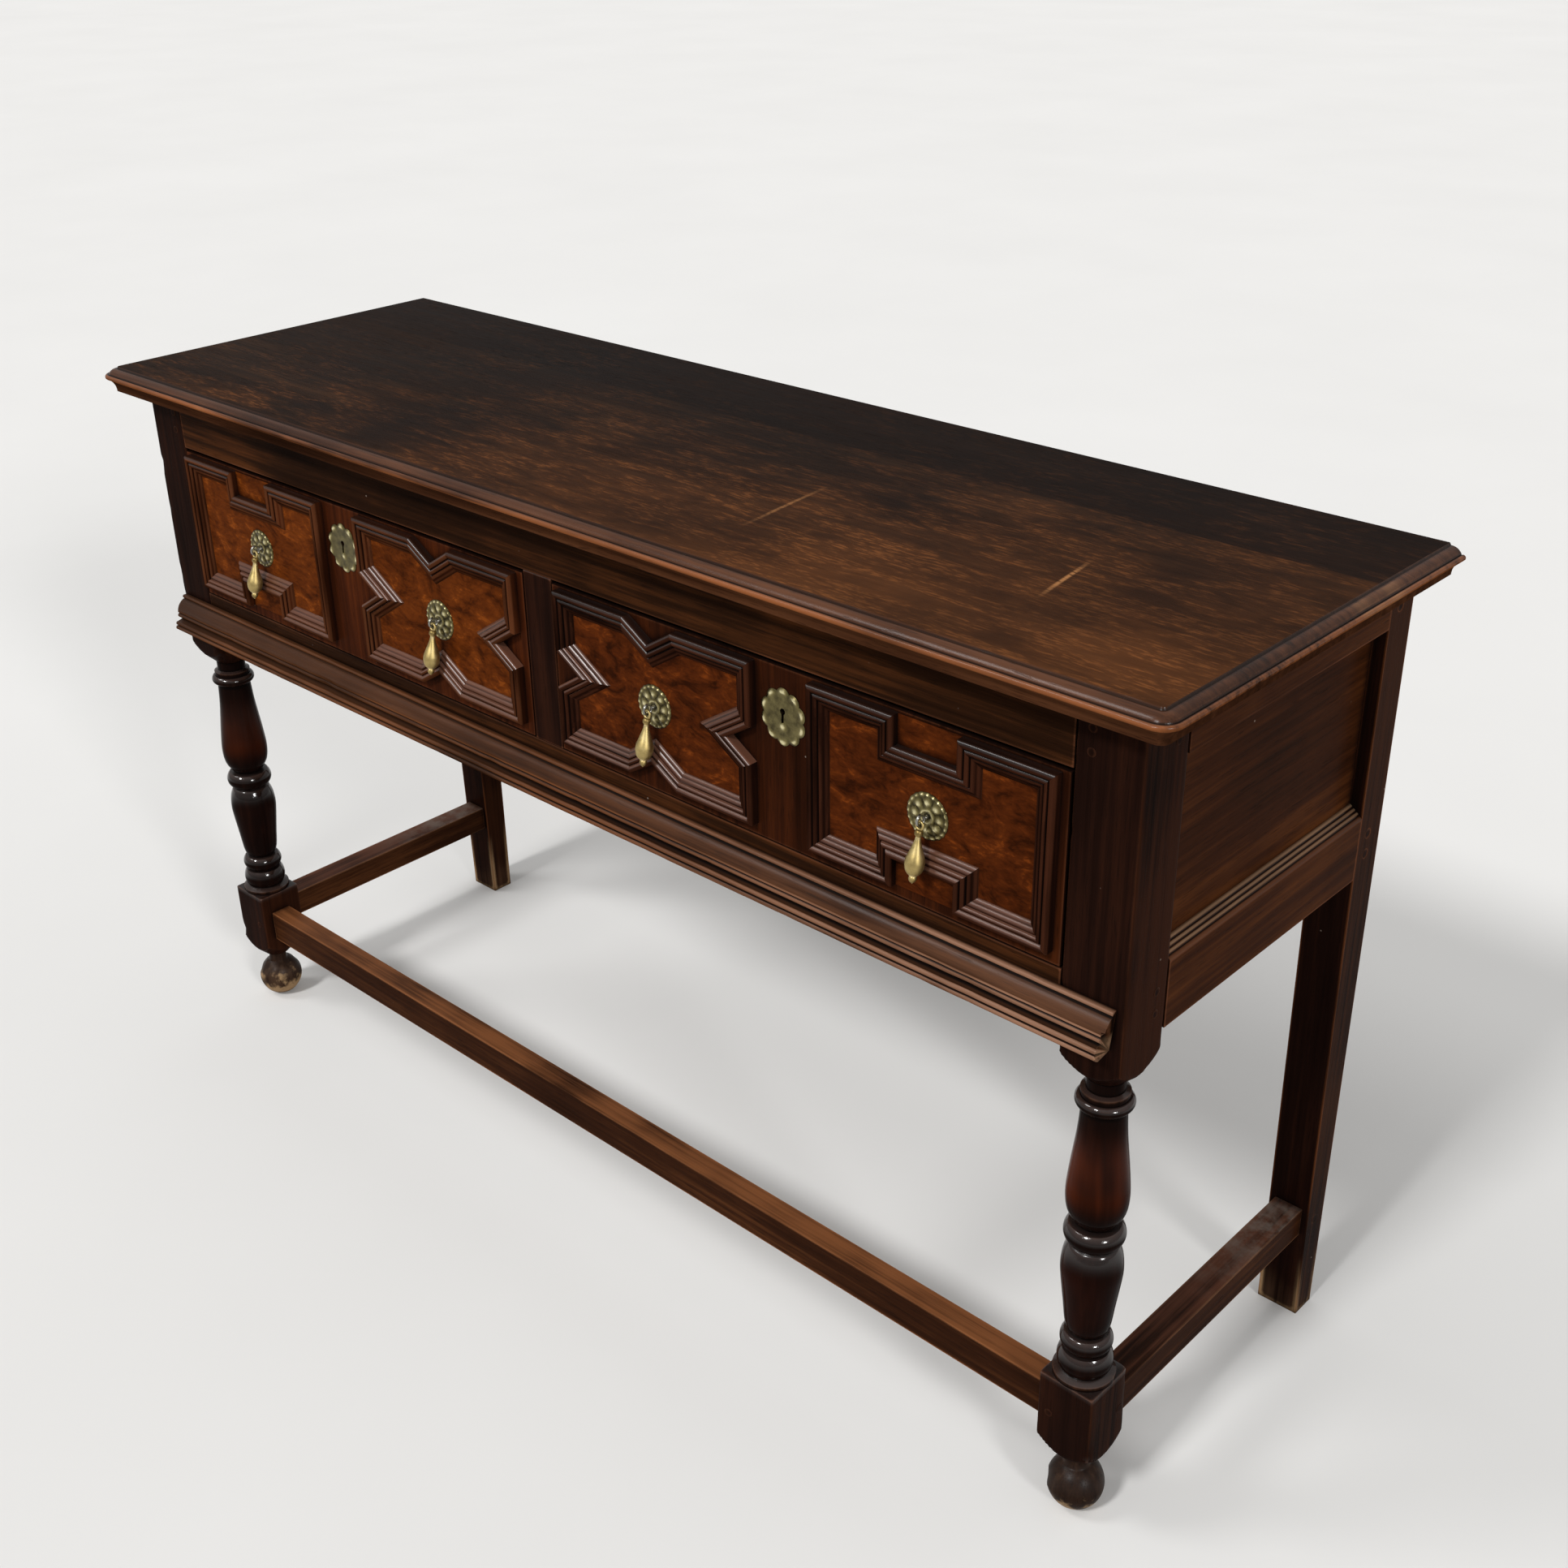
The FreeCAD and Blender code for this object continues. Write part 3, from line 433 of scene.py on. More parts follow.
def edge_oak(name):
    """Moulded edge of the top: painted shade in the grooves and on the end faces, and a rubbed
    orange bead.
    """
    wood = Oak(name, "X", EDGE_SHADES, (0.0, 0.2))
    crest = wood.attribute("crest")
    wood.rub((116, 72, 46), 0.8, (crest, 0.5, 0.7))
    wood.rub((130, 76, 42), 0.8, wood.attribute("moulded"), (crest, 0.45, 0.7))
    wood.paint((166, 122, 84), (wood.cloud, 0.6, 0.72), (crest, 0.48, 0.66), 0.7)
    # Painted shade: faces towards the ends darkened, where the light from the side falls.
    wood.paint((32, 17, 9), (wood.facing("X"), 0.3, 0.7, 0.0, 0.35))
    # Painted shade with soiling: the grooves darkened.
    wood.paint((18, 10, 7), (crest, 0.46, 0.2, 0.0, 0.7))
    wood.grime_and_shade(0.01)
    return wood.done(0.24, 0.2)


def turned_oak(name):
    """Turned leg: red where the baluster is rubbed, dark and glossy elsewhere."""
    wood = Oak(name, "Z", LEG_SHADES, (0.01, 0.5))
    height, crest = wood.axis("Z"), wood.attribute("crest")
    patch = (wood.total((wood.cloud, 0.7), (wood.band, 0.5)), 0.46, 0.76)
    patch = wood.mask(patch, (wood.axis("X"), -0.2, 0.2, 0.4, 1.0))
    wood.paint((84, 33, 10), (height, 0.328, 0.356), (height, 0.425, 0.37), patch, 0.74)
    wood.paint((56, 21, 10), (height, 0.2, 0.225), (height, 0.29, 0.262), patch, 0.4)
    # Painted shade with soiling: the grooves of the turning darkened.
    wood.paint((9, 5, 4), (crest, 0.44, 0.2, 0.0, 0.9))
    wood.rub((84, 56, 40), 0.4, (crest, 0.66, 0.95))
    # Painted highlight, partly dust: upward faces of the rings painted pinkish grey.
    wood.paint((112, 88, 80), (wood.facing("Z"), 0.25, 0.8, 0.0, 0.14))
    wood.grime_and_shade(0.014)
    return wood.done(0.12, 0.1)


def foot_oak(name):
    """Ball foot, polished above and scuffed to bare grey wood below."""
    wood = Oak(name, "Z", FOOT_SHADES, (0.02, 0.1))
    patch = wood.noise(60.0, roughness=0.6)
    low = wood.total((wood.axis("Z"), -16.0), (patch, 1.6), (wood.axis("X"), -0.16))
    wood.paint((146, 118, 86), (low, 0.4, 0.72, 0.0, 0.8))
    wood.grime_and_shade(0.01, 0.5)
    return wood.done(0.4)


def moulding(name, grain, shades, worn, amount, polish, strip=False):
    """Run of moulding: worn along its crests, painted black in its grooves as shade and soiling."""
    wood = Oak(name, grain, shades, polish, 0.8, strip)
    crest = wood.attribute("crest")
    wood.rub(worn, amount, (crest, 0.5, 0.72))
    # Painted shade with soiling: the grooves darkened to near black.
    wood.paint((10, 6, 5), (crest, 0.44, 0.18, 0.0, 0.85))
    wood.grime_and_shade(0.01, 0.7)
    return wood


def frame_oak(name, shades, worn):
    """Drawer mouldings: upward faces painted pale on low runs as highlight and dust, dark on high
    runs as shadow and soiling.
    """
    wood = moulding(name, "X", shades, worn, 0.4, (0.0, 0.42), True)
    height, upper = wood.axis("Z"), wood.span(wood.facing("Z"), 0.1, 0.7)
    # Painted highlight with dust: upward faces of the low runs made pale.
    wood.paint((112, 72, 54), upper, (height, 0.7, 0.66, 0.0, 0.5))
    # Painted shadow of the top's overhang, with soiling: upward faces of the high runs made dark.
    wood.paint((20, 11, 8), upper, (height, 0.68, 0.7, 0.0, 0.6))
    return wood.done(0.3, 0.08)


def base_oak(name, low, high):
    """Long moulding under the drawers, its crests painted palest at the right as a highlight, and
    bare where its end is broken.
    """
    wood = moulding(name, "X", BASE_SHADES, (104, 63, 38), 0.7, (0.0, 0.13))
    x, crest = wood.axis("X"), wood.attribute("crest")
    # Painted shade with soiling: the grooves darkened further.
    wood.paint(GROOVE, (crest, 0.52, 0.38, 0.0, 0.6))
    # Painted highlight: crests towards the right painted pale pink, broken up by the grain.
    wood.rub((152, 116, 94), 0.55, (crest, 0.52, 0.7), (x, 0.0, 0.6))
    end = (x, high.x - 0.006, high.x - 0.001)
    wood.rub((150, 118, 90), 0.7, end, (wood.axis("Z"), low.z + 0.02, low.z + 0.008))
    # Painted light: the left part made lighter and warmer.
    wood.paint((122, 76, 46), (x, 0.15, -0.35, 0.0, 0.12))
    wood.paint((38, 23, 15), (x, -0.5, -0.63, 0.0, 0.6))
    return wood.done(0.28, 0.1)


def reed_oak(name):
    """Reeds of the sides: brown below, rubbed pale above."""
    wood = moulding(name, "Y", BASE_SHADES, (104, 60, 34), 0.55, (0.01, 0.1))
    crest = wood.attribute("crest")
    # Painted shade with soiling: the grooves between the reeds darkened.
    wood.paint(GROOVE, (crest, 0.52, 0.36, 0.0, 0.7))
    wood.rub((164, 136, 106), 0.9, (crest, 0.56, 0.8), (wood.axis("Z"), 0.5625, 0.5645))
    return wood.done(0.3, 0.2)


def burr_veneer(name, shades, bright, knots):
    """Mottled orange-brown figure, darker towards the mouldings."""
    wood = Oak(name, "X", shades)
    mottle = wood.noise((30.0, 42.0, 46.0), detail=6.0, roughness=0.62, distortion=1.0)
    curl = wood.noise((80.0, 170.0, 180.0), roughness=0.6, distortion=1.2)
    value = wood.total((mottle, 0.5), (curl, 0.26), (wood.fibre, 0.1), (wood.cloud, 0.14))
    wood.ramp(value, (0.37, 0.5, 0.6), shades[::-1])
    wood.paint((32, 12, 4), (mottle, 0.54, 0.7, 0.0, knots))
    wood.paint(bright, (mottle, 0.46, 0.36), (curl, 0.56, 0.4), 0.6)
    # Painted shade with soiling: the field darkened towards the mouldings.
    wood.grime_and_shade(0.028, 0.9, (16, 7, 5))
    return wood.done(0.3, 0.2)


def inner_oak(name, grain, shades):
    """Unpolished oak inside the drawers and behind, brown with age."""
    wood = Oak(name, grain, shades, (0.03, 0.05))
    # Painted shade with soiling in the corners.
    wood.grime_and_shade(0.03, 0.7, (30, 20, 13))
    return wood.done(0.62, 0.5)


def old_brass(name, shades, gloss):
    """Brass with brown tarnish in the hollows and rubbed high points."""
    metal = Finish(name, metallic=1.0)
    cloud = metal.noise(140.0, detail=5.0, roughness=0.6)
    speck = metal.noise(900.0, detail=2.0)
    value = metal.total((metal.attribute("crest"), 0.72), (cloud, 0.5))
    metal.ramp(value, (0.32, 0.6, 0.92), shades)
    hollow_darkening = metal.span(metal.cavity(0.003), 0.3, 0.8, 0.0, 0.8)
    metal.paint((40, 32, 18), hollow_darkening)
    metal.paint((66, 56, 32), (speck, 0.62, 0.74, 0.0, 0.4))
    rough = metal.math("ADD", metal.total((cloud, 0.3), (hollow_darkening, 0.25)), gloss - 0.15)
    return metal.finish(rough, metal.total((cloud, 0.6), (speck, 0.4)), 0.2, 0.0003)


def lock_iron(name):
    metal = Finish(name, metallic=0.9)
    cloud = metal.noise(120.0, detail=5.0, roughness=0.65)
    metal.ramp(cloud, (0.35, 0.55, 0.72), IRON_SHADES)
    return metal.finish(metal.span(cloud, 0.2, 0.8, 0.4, 0.75), cloud, 0.4)


def floor_paint(name):
    paint = Finish(name, specular=0.0)
    cloud = paint.noise(1.4, detail=5.0)
    paint.ramp(cloud, (0.3, 0.7), FLOOR_SHADES)
    return paint.finish(paint.span(cloud, 0.2, 0.8, 0.6, 0.75), cloud, 0.0)


# Outlines and meshes.
def full_turn(count):
    return [2.0 * math.pi * i / count for i in range(count)]


def spread(low, high, count):
    return [low + (high - low) * i / count for i in range(count + 1)]


def swell(value, centre, width):
    """Smooth hump, 1 at its centre."""
    return math.exp(-(((value - centre) / width) ** 2))


def wobble(point, scale, size):
    return noise.noise(point * scale) * size


def chip(point, proud, scale, rarity, depth, start=0.4):
    """Depth of the scattered chips, which lie where the surface stands proud."""
    return max(0.0, noise.noise(point * scale) - rarity) * depth * max(0.0, proud - start)


def arc_points(start, through, end, count):
    a, b, c = (Vector((p[0], p[1])) for p in (start, through, end))
    ab, ac = b - a, c - a
    cross = 2.0 * (ab.x * ac.y - ab.y * ac.x)
    if abs(cross) < 1e-9:
        return [a.lerp(c, (i + 1) / count) for i in range(count)]
    ux = (ac.y * ab.length_squared - ab.y * ac.length_squared) / cross
    uy = (ab.x * ac.length_squared - ac.x * ab.length_squared) / cross
    centre = a + Vector((ux, uy))
    first = a - centre
    zero = math.atan2(first.y, first.x)
    turn = [math.atan2(p.y - centre.y, p.x - centre.x) - zero for p in (b, c)]
    ccw = [angle % (2.0 * math.pi) for angle in turn]
    sweep = ccw[1] if ccw[0] < ccw[1] else ccw[1] - 2.0 * math.pi
    return [centre + Matrix.Rotation(sweep * (i + 1) / count, 2) @ first for i in range(count)]


def curve_points(points, count):
    """Smooth curve through points, with count samples in each stretch."""
    ring = [points[0] * 2 - points[1]] + points + [points[-1] * 2 - points[-2]]
    result = []
    for p0, p1, p2, p3 in zip(ring, ring[1:], ring[2:], ring[3:]):
        bend, twist = 2 * p0 - 5 * p1 + 4 * p2 - p3, 3 * p1 - p0 - 3 * p2 + p3
        for k in range(count):
            t = (k + 1) / count
            result.append(0.5 * (2 * p1 + (p2 - p0) * t + bend * t * t + twist * t**3))
    return result


def outline(steps, spacing):
    """Points of an outline, in metres, from steps and a spacing in millimetres."""
    points = [Vector(steps[0][0])]
    for step in steps[1:]:
        last = points[-1]
        span = sum((Vector(b) - Vector(a)).length for a, b in zip([last] + step, step))
        count = max(1, math.ceil(span / spacing))
        if len(step) == 1:
            points += [last.lerp(Vector(step[0]), (i + 1) / count) for i in range(count)]
        elif len(step) == 2:
            points += arc_points(last, step[0], step[1], max(4, count))
        else:
            points += curve_points([last] + [Vector(p) for p in step], 4)
    return [point * 0.001 for point in points]


def relief(points, reach=0.0022):
    """From 0 in a groove to 1 on a crest, along an outline whose outside is on its left."""
    result = []
    for index, point in enumerate(points):
        near = [other for other in points if (other - point).length < reach]
        middle = sum(near, Vector((0.0, 0.0))) / len(near)
        ahead = points[min(index + 1, len(points) - 1)] - points[max(index - 1, 0)]
        outward = Vector((-ahead.y, ahead.x)).normalized()
        result.append(min(1.0, max(0.0, 0.5 + (point - middle).dot(outward) / (0.5 * reach))))
    return result


def link(name, data):
    made = bpy.data.objects.new(name, data)
    bpy.context.scene.collection.objects.link(made)
    return made


class Build:
    """Collects the faces of one piece."""

    def __init__(self):
        self.mesh = bmesh.new()
        self.crest = self.mesh.verts.layers.float.new("crest")
        self.moulded = self.mesh.verts.layers.float.new("moulded")
        self.strip = self.mesh.loops.layers.uv.new("strip")

    def ring(self, points, crest=None, moulded=None):
        made = []
        for index, point in enumerate(points):
            vertex = self.mesh.verts.new(point)
            vertex[self.crest] = crest[index] if crest else 0.5
            vertex[self.moulded] = moulded[index] if moulded else 0.0
            made.append(vertex)
        return made

    def face(self, vertices, material=0, smooth=True, places=()):
        face = self.mesh.faces.new(vertices)
        face.smooth = smooth
        face.material_index = material
        for loop, place in zip(face.loops, places):
            loop[self.strip].uv = place

    def skin(self, rings, closed=True, material=0, seed=0.0):
        """Quads from ring to ring; strip places run along the rings and across them."""
        distance = 0.0
        for near, far in zip(rings, rings[1:]):
            step = max((b.co - a.co).length for a, b in zip(near, far))
            across = seed
            count = len(near) if closed else len(near) - 1
            for i in range(count):
                j = (i + 1) % len(near)
                width = (near[j].co - near[i].co).length
                places = [(distance, across), (distance + step, across)]
                places += [(distance + step, across + width), (distance, across + width)]
                self.face([near[i], far[i], far[j], near[j]], material, True, places)
                across += width
            distance += step

    def caps(self, rings, material=0):
        for ring in (rings[0], rings[-1]):
            self.face(ring, material, False)

    def solid(self, rings, material=0, seed=0.0):
        self.skin(rings, True, material, seed)
        self.caps(rings, material)

    def lathe(self, profile, matrix, segments, material=0):
        """Turned form about local Z, from an outline of radius and height."""
        crest = relief([Vector((-radius, height)) for radius, height in profile], 0.004)
        rings = []
        for (radius, height), proud in zip(profile, crest):
            circle = []
            for angle in full_turn(segments):
                spot = Vector((radius * math.cos(angle), radius * math.sin(angle), height))
                circle.append(matrix @ spot)
            rings.append(self.ring(circle, [proud] * segments))
        self.solid(rings, material)

    def torus(self, matrix, radius, wire, material=0):
        around, sides = 40, 14
        rings = []
        for angle in full_turn(around):
            circle = []
            for turn in full_turn(sides):
                reach = radius + wire * math.cos(turn)
                point = (reach * math.cos(angle), reach * math.sin(angle), wire * math.sin(turn))
                circle.append(matrix @ Vector(point))
            rings.append(self.ring(circle))
        self.skin(rings + rings[:1], True, material)

    def piece(self, name, body, slot, materials, replaced, mirror=False):
        if mirror:
            bmesh.ops.scale(self.mesh, vec=(-1.0, 1.0, 1.0), verts=self.mesh.verts[:])
        bmesh.ops.recalc_face_normals(self.mesh, faces=self.mesh.faces[:])
        mesh = bpy.data.meshes.new(name)
        self.mesh.to_mesh(mesh)
        self.mesh.free()
        mesh.set_sharp_from_angle(angle=math.radians(38.0))
        for material in materials:
            mesh.materials.append(material)
        piece = link(name, mesh)
        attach(piece, body)
        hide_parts(*replaced)


# Top boards with their moulded edge.
def edge_path():
    """Points round the front board's edge, each with the direction inward."""
    path = []
    half = TOP_HALF - TOP_CORNER
    corner_y = TOP_FRONT + TOP_CORNER

    def run(start, end, inward, step=0.004):
        count = math.ceil((end - start).length / step)
        for i in range(count + 1):
            path.append((start.lerp(end, i / count), inward))

    run(Vector((-TOP_HALF, TOP_JOINT)), Vector((-TOP_HALF, corner_y)), Vector((1.0, 0.0)))
    for side in (-1.0, 1.0):
        for i in range(1, 10):
            angle = math.radians(9.0 * i if side < 0 else 90.0 - 9.0 * i)
            out = Vector((side * math.cos(angle), -math.sin(angle)))
            path.append((Vector((side * half, corner_y)) + out * TOP_CORNER, -out))
        if side < 0:
            run(Vector((-half, TOP_FRONT)), Vector((half, TOP_FRONT)), Vector((0.0, 1.0)))
    run(Vector((TOP_HALF, corner_y)), Vector((TOP_HALF, TOP_JOINT)), Vector((-1.0, 0.0)))
    return path


def top_pieces(front_material, back_material, edge_material):
    profile = outline(TOP_EDGE, 0.8)
    crest = relief([Vector((-u, -d)) for u, d in profile])
    bead = [1.0 if TOP_BEAD[0] < d < TOP_BEAD[1] else 0.0 for u, d in profile]

    build = Build()
    rings = []
    for at, inward in edge_path():
        sway = abs(wobble(at.to_3d(), *TOP_SWAY))
        points = []
        for index, ((u, d), proud) in enumerate(zip(profile, crest)):
            place = Vector((at.x, at.y, TOP_HIGH - d))
            worn = u + chip(place, proud, *TOP_CHIPS) + (sway if index else 0.0)
            points.append((at.x + inward.x * worn, at.y + inward.y * worn, TOP_HIGH - d))
        rings.append(build.ring(points, crest, bead))
    build.skin(rings, False, 1)
    build.face([ring[0] for ring in rings], 0, False)
    build.face([ring[-1] for ring in rings], 0, False)
    build.face(rings[0] + rings[-1][::-1], 0, False)
    finishes = [front_material, edge_material]
    build.piece("top_front_board_worn", "case", "top_oak", finishes, ["top_front_board"])

    build = Build()
    rings = []
    for y in spread(TOP_JOINT, TOP_BACK, 16):
        left = [(-TOP_HALF + u, y, TOP_HIGH - d) for u, d in profile]
        right = [(TOP_HALF - u, y, TOP_HIGH - d) for u, d in reversed(profile)]
        rings.append(build.ring(left + right, crest + crest[::-1], bead + bead[::-1]))
    middle = len(profile)
    build.skin([ring[:middle] for ring in rings], False, 1)
    build.skin([ring[middle:] for ring in rings], False, 1)
    for left, right in ((0, -1), (middle - 1, middle)):
        build.face([r[left] for r in rings] + [r[right] for r in reversed(rings)], 0, False)
    build.caps(rings)
    finishes = [back_material, edge_material]
    build.piece("top_back_board_worn", "case", "top_oak", finishes, ["top_back_board"])


# Front legs, feet and the reeded strips of the sides.
def post_levels(width, low, floor, high, ease):
    """Heights of a post with a coned foot, each with its reach and how far it draws in."""
    free = 1.0
    cone = zip(spread(low, floor, 13), spread(CONE_RADIUS, width / math.sqrt(2.0), 13))
    levels = [(z, reach, 0.0) for z, reach in cone]
    count = math.ceil((high - floor) / 0.008)
    levels += [(z, free, 0.0) for z in spread(floor, high, count)[1:-1]]
    levels += [(high - ease, free, 0.0), (high - ease * 0.3, free, ease * 0.3), (high, free, ease)]
    return levels


def post(build, width, *heights):
    """Square post with eased and knocked corners, cut to a cone where its reach is small."""
    half = 10
    bends = [math.sin(math.pi / 2 * (k / half - 1.0)) for k in range(2 * half)]
    turns = [math.radians(90.0 * side) + math.atan(bend) for side in range(4) for bend in bends]
    rings = []
    for z, reach, shrink in post_levels(width, *heights):
        points = []
        for turn in turns:
            across, deep = math.cos(turn), math.sin(turn)
            flat = abs(across) ** CORNER_POWER + abs(deep) ** CORNER_POWER
            flat **= 1.0 / CORNER_POWER
            square = (width / 2 - PEG_PROUD - shrink) / flat
            corner = max(0.0, 1.0 / flat - KNOCK_FROM) / KNOCK_SPAN
            place = Vector((LEG_X + across * square, LEG_Y + deep * square, z))
            radius = min(square - chip(place, corner, *POST_CHIPS, 0.0), reach)
            points.append((LEG_X + across * radius, LEG_Y + deep * radius, z))
        rings.append(build.ring(points))
    build.solid(rings)


def front_leg(side, mirror, post_material, turned_material):
    name = "front_leg_" + side
    build = Build()
    post(build, *STILE)
    post(build, *BLOCK)
    build.piece(name + "_posts", "case", "dark_oak", [post_material], [name], mirror)
    build = Build()
    build.lathe(outline(LEG_TURNING, 0.8), Matrix.Translation((LEG_X, LEG_Y, 0.0)), 72)
    build.piece(name + "_turning", "case", "dark_oak", [turned_material], [name], mirror)


def front_foot(side, mirror, material):
    """Ball foot, knocked out of round."""
    build = Build()
    rings = []
    for radius, height in outline(FOOT_PROFILE, 1.2):
        points = []
        for angle in full_turn(64):
            spot = Vector((math.cos(angle), math.sin(angle), 0.0)) * radius
            spot += Vector((LEG_X, LEG_Y, height))
            seed = spot + Vector((5.0 if mirror else 0.0, 0.0, 0.0))
            dent = chip(seed, 1.0, *FOOT_CHIPS, 0.0) + wobble(seed, *FOOT_SWAY) + FOOT_SWAY[1]
            dent *= min(1.0, height / 0.012)
            points.append(spot + Vector((-math.cos(angle), -math.sin(angle), 0.0)) * dent)
        rings.append(build.ring(points))
    build.solid(rings)
    name = "front_foot_" + side
    build.piece(name + "_worn", "case", "dark_oak", [material], [name], mirror)


def side_reeds(side, mirror, material):
    low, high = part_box("side_moulding_right")
    profile = outline(REED_PROFILE, 0.4)
    crest = relief([Vector((-x, z)) for x, z in profile], 0.0016) + [0.5]
    profile.append(Vector((low.x, low.z)))
    build = Build()
    rings = []
    for y in spread(low.y, high.y, 60):
        points = []
        for (x, z), proud in zip(profile, crest):
            points.append((x - chip(Vector((x, y, z)), proud, *REED_CHIPS), y, z))
        rings.append(build.ring(points, crest))
    build.solid(rings)
    name = "side_moulding_" + side
    build.piece(name + "_worn", "case", "moulding_oak", [material], [name], mirror)


# Moulding along the bottom rail, broken away at its right end.
def base_moulding(material):
    low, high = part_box("front_base_moulding")
    profile = outline(BASE_PROFILE, 0.7)
    crest = [0.5] + relief([Vector((-p, h)) for p, h in profile]) + [0.5]
    loop = [Vector((0.0, 0.0))] + profile + [Vector((0.0, profile[-1].y))]
    build = Build()
    rings = []
    count = 260
    for i, x in enumerate(spread(low.x, high.x, count)):
        sway = wobble(Vector((x, 0.0, 0.0)), *BASE_SWAY)
        points = []
        for (p, h), proud in zip(loop, crest):
            nick = chip(Vector((x, p, h)), proud, *BASE_CHIPS, 0.35)
            out = p - nick + (sway if p > 0.002 else 0.0)
            ragged = 0.0
            if i == count and h < 0.024:
                ragged = 0.004 + 0.004 * noise.noise(Vector((p, h, 0.3)) * 260.0)
            points.append((x - max(0.0, ragged), FRONT_Y - max(0.0, out), low.z + h))
        rings.append(build.ring(points, crest))
    build.solid(rings)
    name = "front_base_moulding"
    build.piece(name + "_worn", "case", "moulding_oak", [material], [name])


# Mitred frames of moulding on the drawer fronts.
def notched_path(x, z):
    middle = (x[0] + x[1]) / 2
    low = [
        (x[0], z[0]),
        (middle - NOTCH_HALF, z[0]),
        (middle - NOTCH_HALF, z[0] + NOTCH_DEPTH),
        (middle + NOTCH_HALF, z[0] + NOTCH_DEPTH),
        (middle + NOTCH_HALF, z[0]),
        (x[1], z[0]),
    ]
    return low + [(px, z[0] + z[1] - pz) for px, pz in reversed(low)]


def vee_path(x, z):
    middle = (x[0] + x[1]) / 2
    centre = (z[0] + z[1]) / 2
    half = [
        (x[0], z[0]),
        (middle - VEE_HALF, z[0]),
        (middle, z[0] + VEE_DEPTH),
        (middle + VEE_HALF, z[0]),
        (x[1], z[0]),
        (x[1], centre - SIDE_VEE_HALF),
        (x[1] - SIDE_VEE_DEPTH, centre),
        (x[1], centre + SIDE_VEE_HALF),
    ]
    return half + [(x[0] + x[1] - px, z[0] + z[1] - pz) for px, pz in half]


def inset(path, distance):
    """Closed path moved inward by a distance, corner for corner."""
    normals = []
    for (ax, az), (bx, bz) in zip(path, path[1:] + path[:1]):
        length = math.hypot(bx - ax, bz - az)
        normals.append(Vector(((az - bz) / length, (bx - ax) / length)))
    moved = []
    for index, point in enumerate(path):
        before, after = normals[index - 1], normals[index]
        moved.append(Vector(point) + (before + after) * (distance / (1.0 + before.dot(after))))
    return moved


def drawer_mouldings(side, mirror, material):
    profile = outline(FRAME_PROFILE, 0.7)
    crest = relief(profile)
    build = Build()
    strip = 0
    for path in (vee_path(INNER_FRAME_X, FRAME_Z), notched_path(OUTER_FRAME_X, FRAME_Z)):
        corners = [inset(path, u) for u, h in profile]
        for index in range(len(path)):
            after = (index + 1) % len(path)
            length = (Vector(path[after]) - Vector(path[index])).length
            count = max(2, math.ceil(length / 0.009))
            seam = MITRE_GAP / length
            rings = []
            for i in range(count + 1):
                t = seam + (1.0 - 2.0 * seam) * i / count
                sway = wobble(Vector((t * length, strip * 3.7, 0.0)), *FRAME_SWAY)
                points = []
                for (u, h), proud, moved in zip(profile, crest, corners):
                    at = moved[index].lerp(moved[after], t)
                    place = Vector((at.x, h + (3.0 if mirror else 0.0), at.y))
                    rise = h - chip(place, proud, *FRAME_CHIPS) + (sway if h > 0.002 else 0.0)
                    points.append((at.x, FRONT_Y - rise, at.y))
                rings.append(build.ring(points, crest))
            strip += 1
            build.solid(rings, seed=strip * 0.37 + (7.0 if mirror else 0.0))
    name = side + "_drawer_mouldings"
    build.piece(name + "_worn", side + "_drawer", "moulding_oak", [material], [name], mirror)


# Handles and key plates.
def rose(build, px):
    """Embossed disc: fluted and beaded rim, eight leaves and a collar round the pin."""
    base = FRONT_Y - FIELD_THICK
    around, across = 160, 30
    flute_depth = 0.014
    sheet, dome, bead_rise, leaf_rise = 0.0003, 0.0006, 0.0014, 0.0017
    vein_cut, collar_rise = 0.0004, 0.0011
    rings = []
    for t in spread(0.0, 1.0, across):
        points = []
        crest = []
        for angle in full_turn(around):
            flute = math.cos(ROSE_BEADS * angle)
            petal = 0.5 + 0.5 * math.cos(ROSE_LEAVES * angle)
            edge = ROSE_RADIUS * (1.0 + flute_depth * flute - flute_depth)
            r = ROSE_HOLE + (edge - ROSE_HOLE) * t
            share = r / ROSE_RADIUS
            bead = swell(share, 0.9, 0.055) * (0.6 + 0.4 * flute)
            leaf = swell(share, 0.58, 0.15) * petal**0.8
            vein = swell(share, 0.62, 0.1) * max(0.0, math.cos(2 * ROSE_LEAVES * angle)) ** 6
            collar = swell(share, 0.26, 0.07)
            rise = dome * (1.0 - share**2) + bead_rise * bead + leaf_rise * leaf - vein_cut * vein
            rise += collar_rise * collar + sheet
            points.append((px + r * math.cos(angle), base - rise, HANDLE_Z + r * math.sin(angle)))
            crest.append(min(1.0, 0.1 + 0.8 * bead + 0.85 * leaf + 0.6 * collar))
        rings.append(build.ring(points, crest))
    backs = []
    for r in (ROSE_RADIUS * 0.985, ROSE_HOLE):
        circle = []
        for angle in full_turn(around):
            circle.append((px + r * math.cos(angle), base, HANDLE_Z + r * math.sin(angle)))
        backs.append(build.ring(circle))
    build.skin(rings + backs + rings[:1])


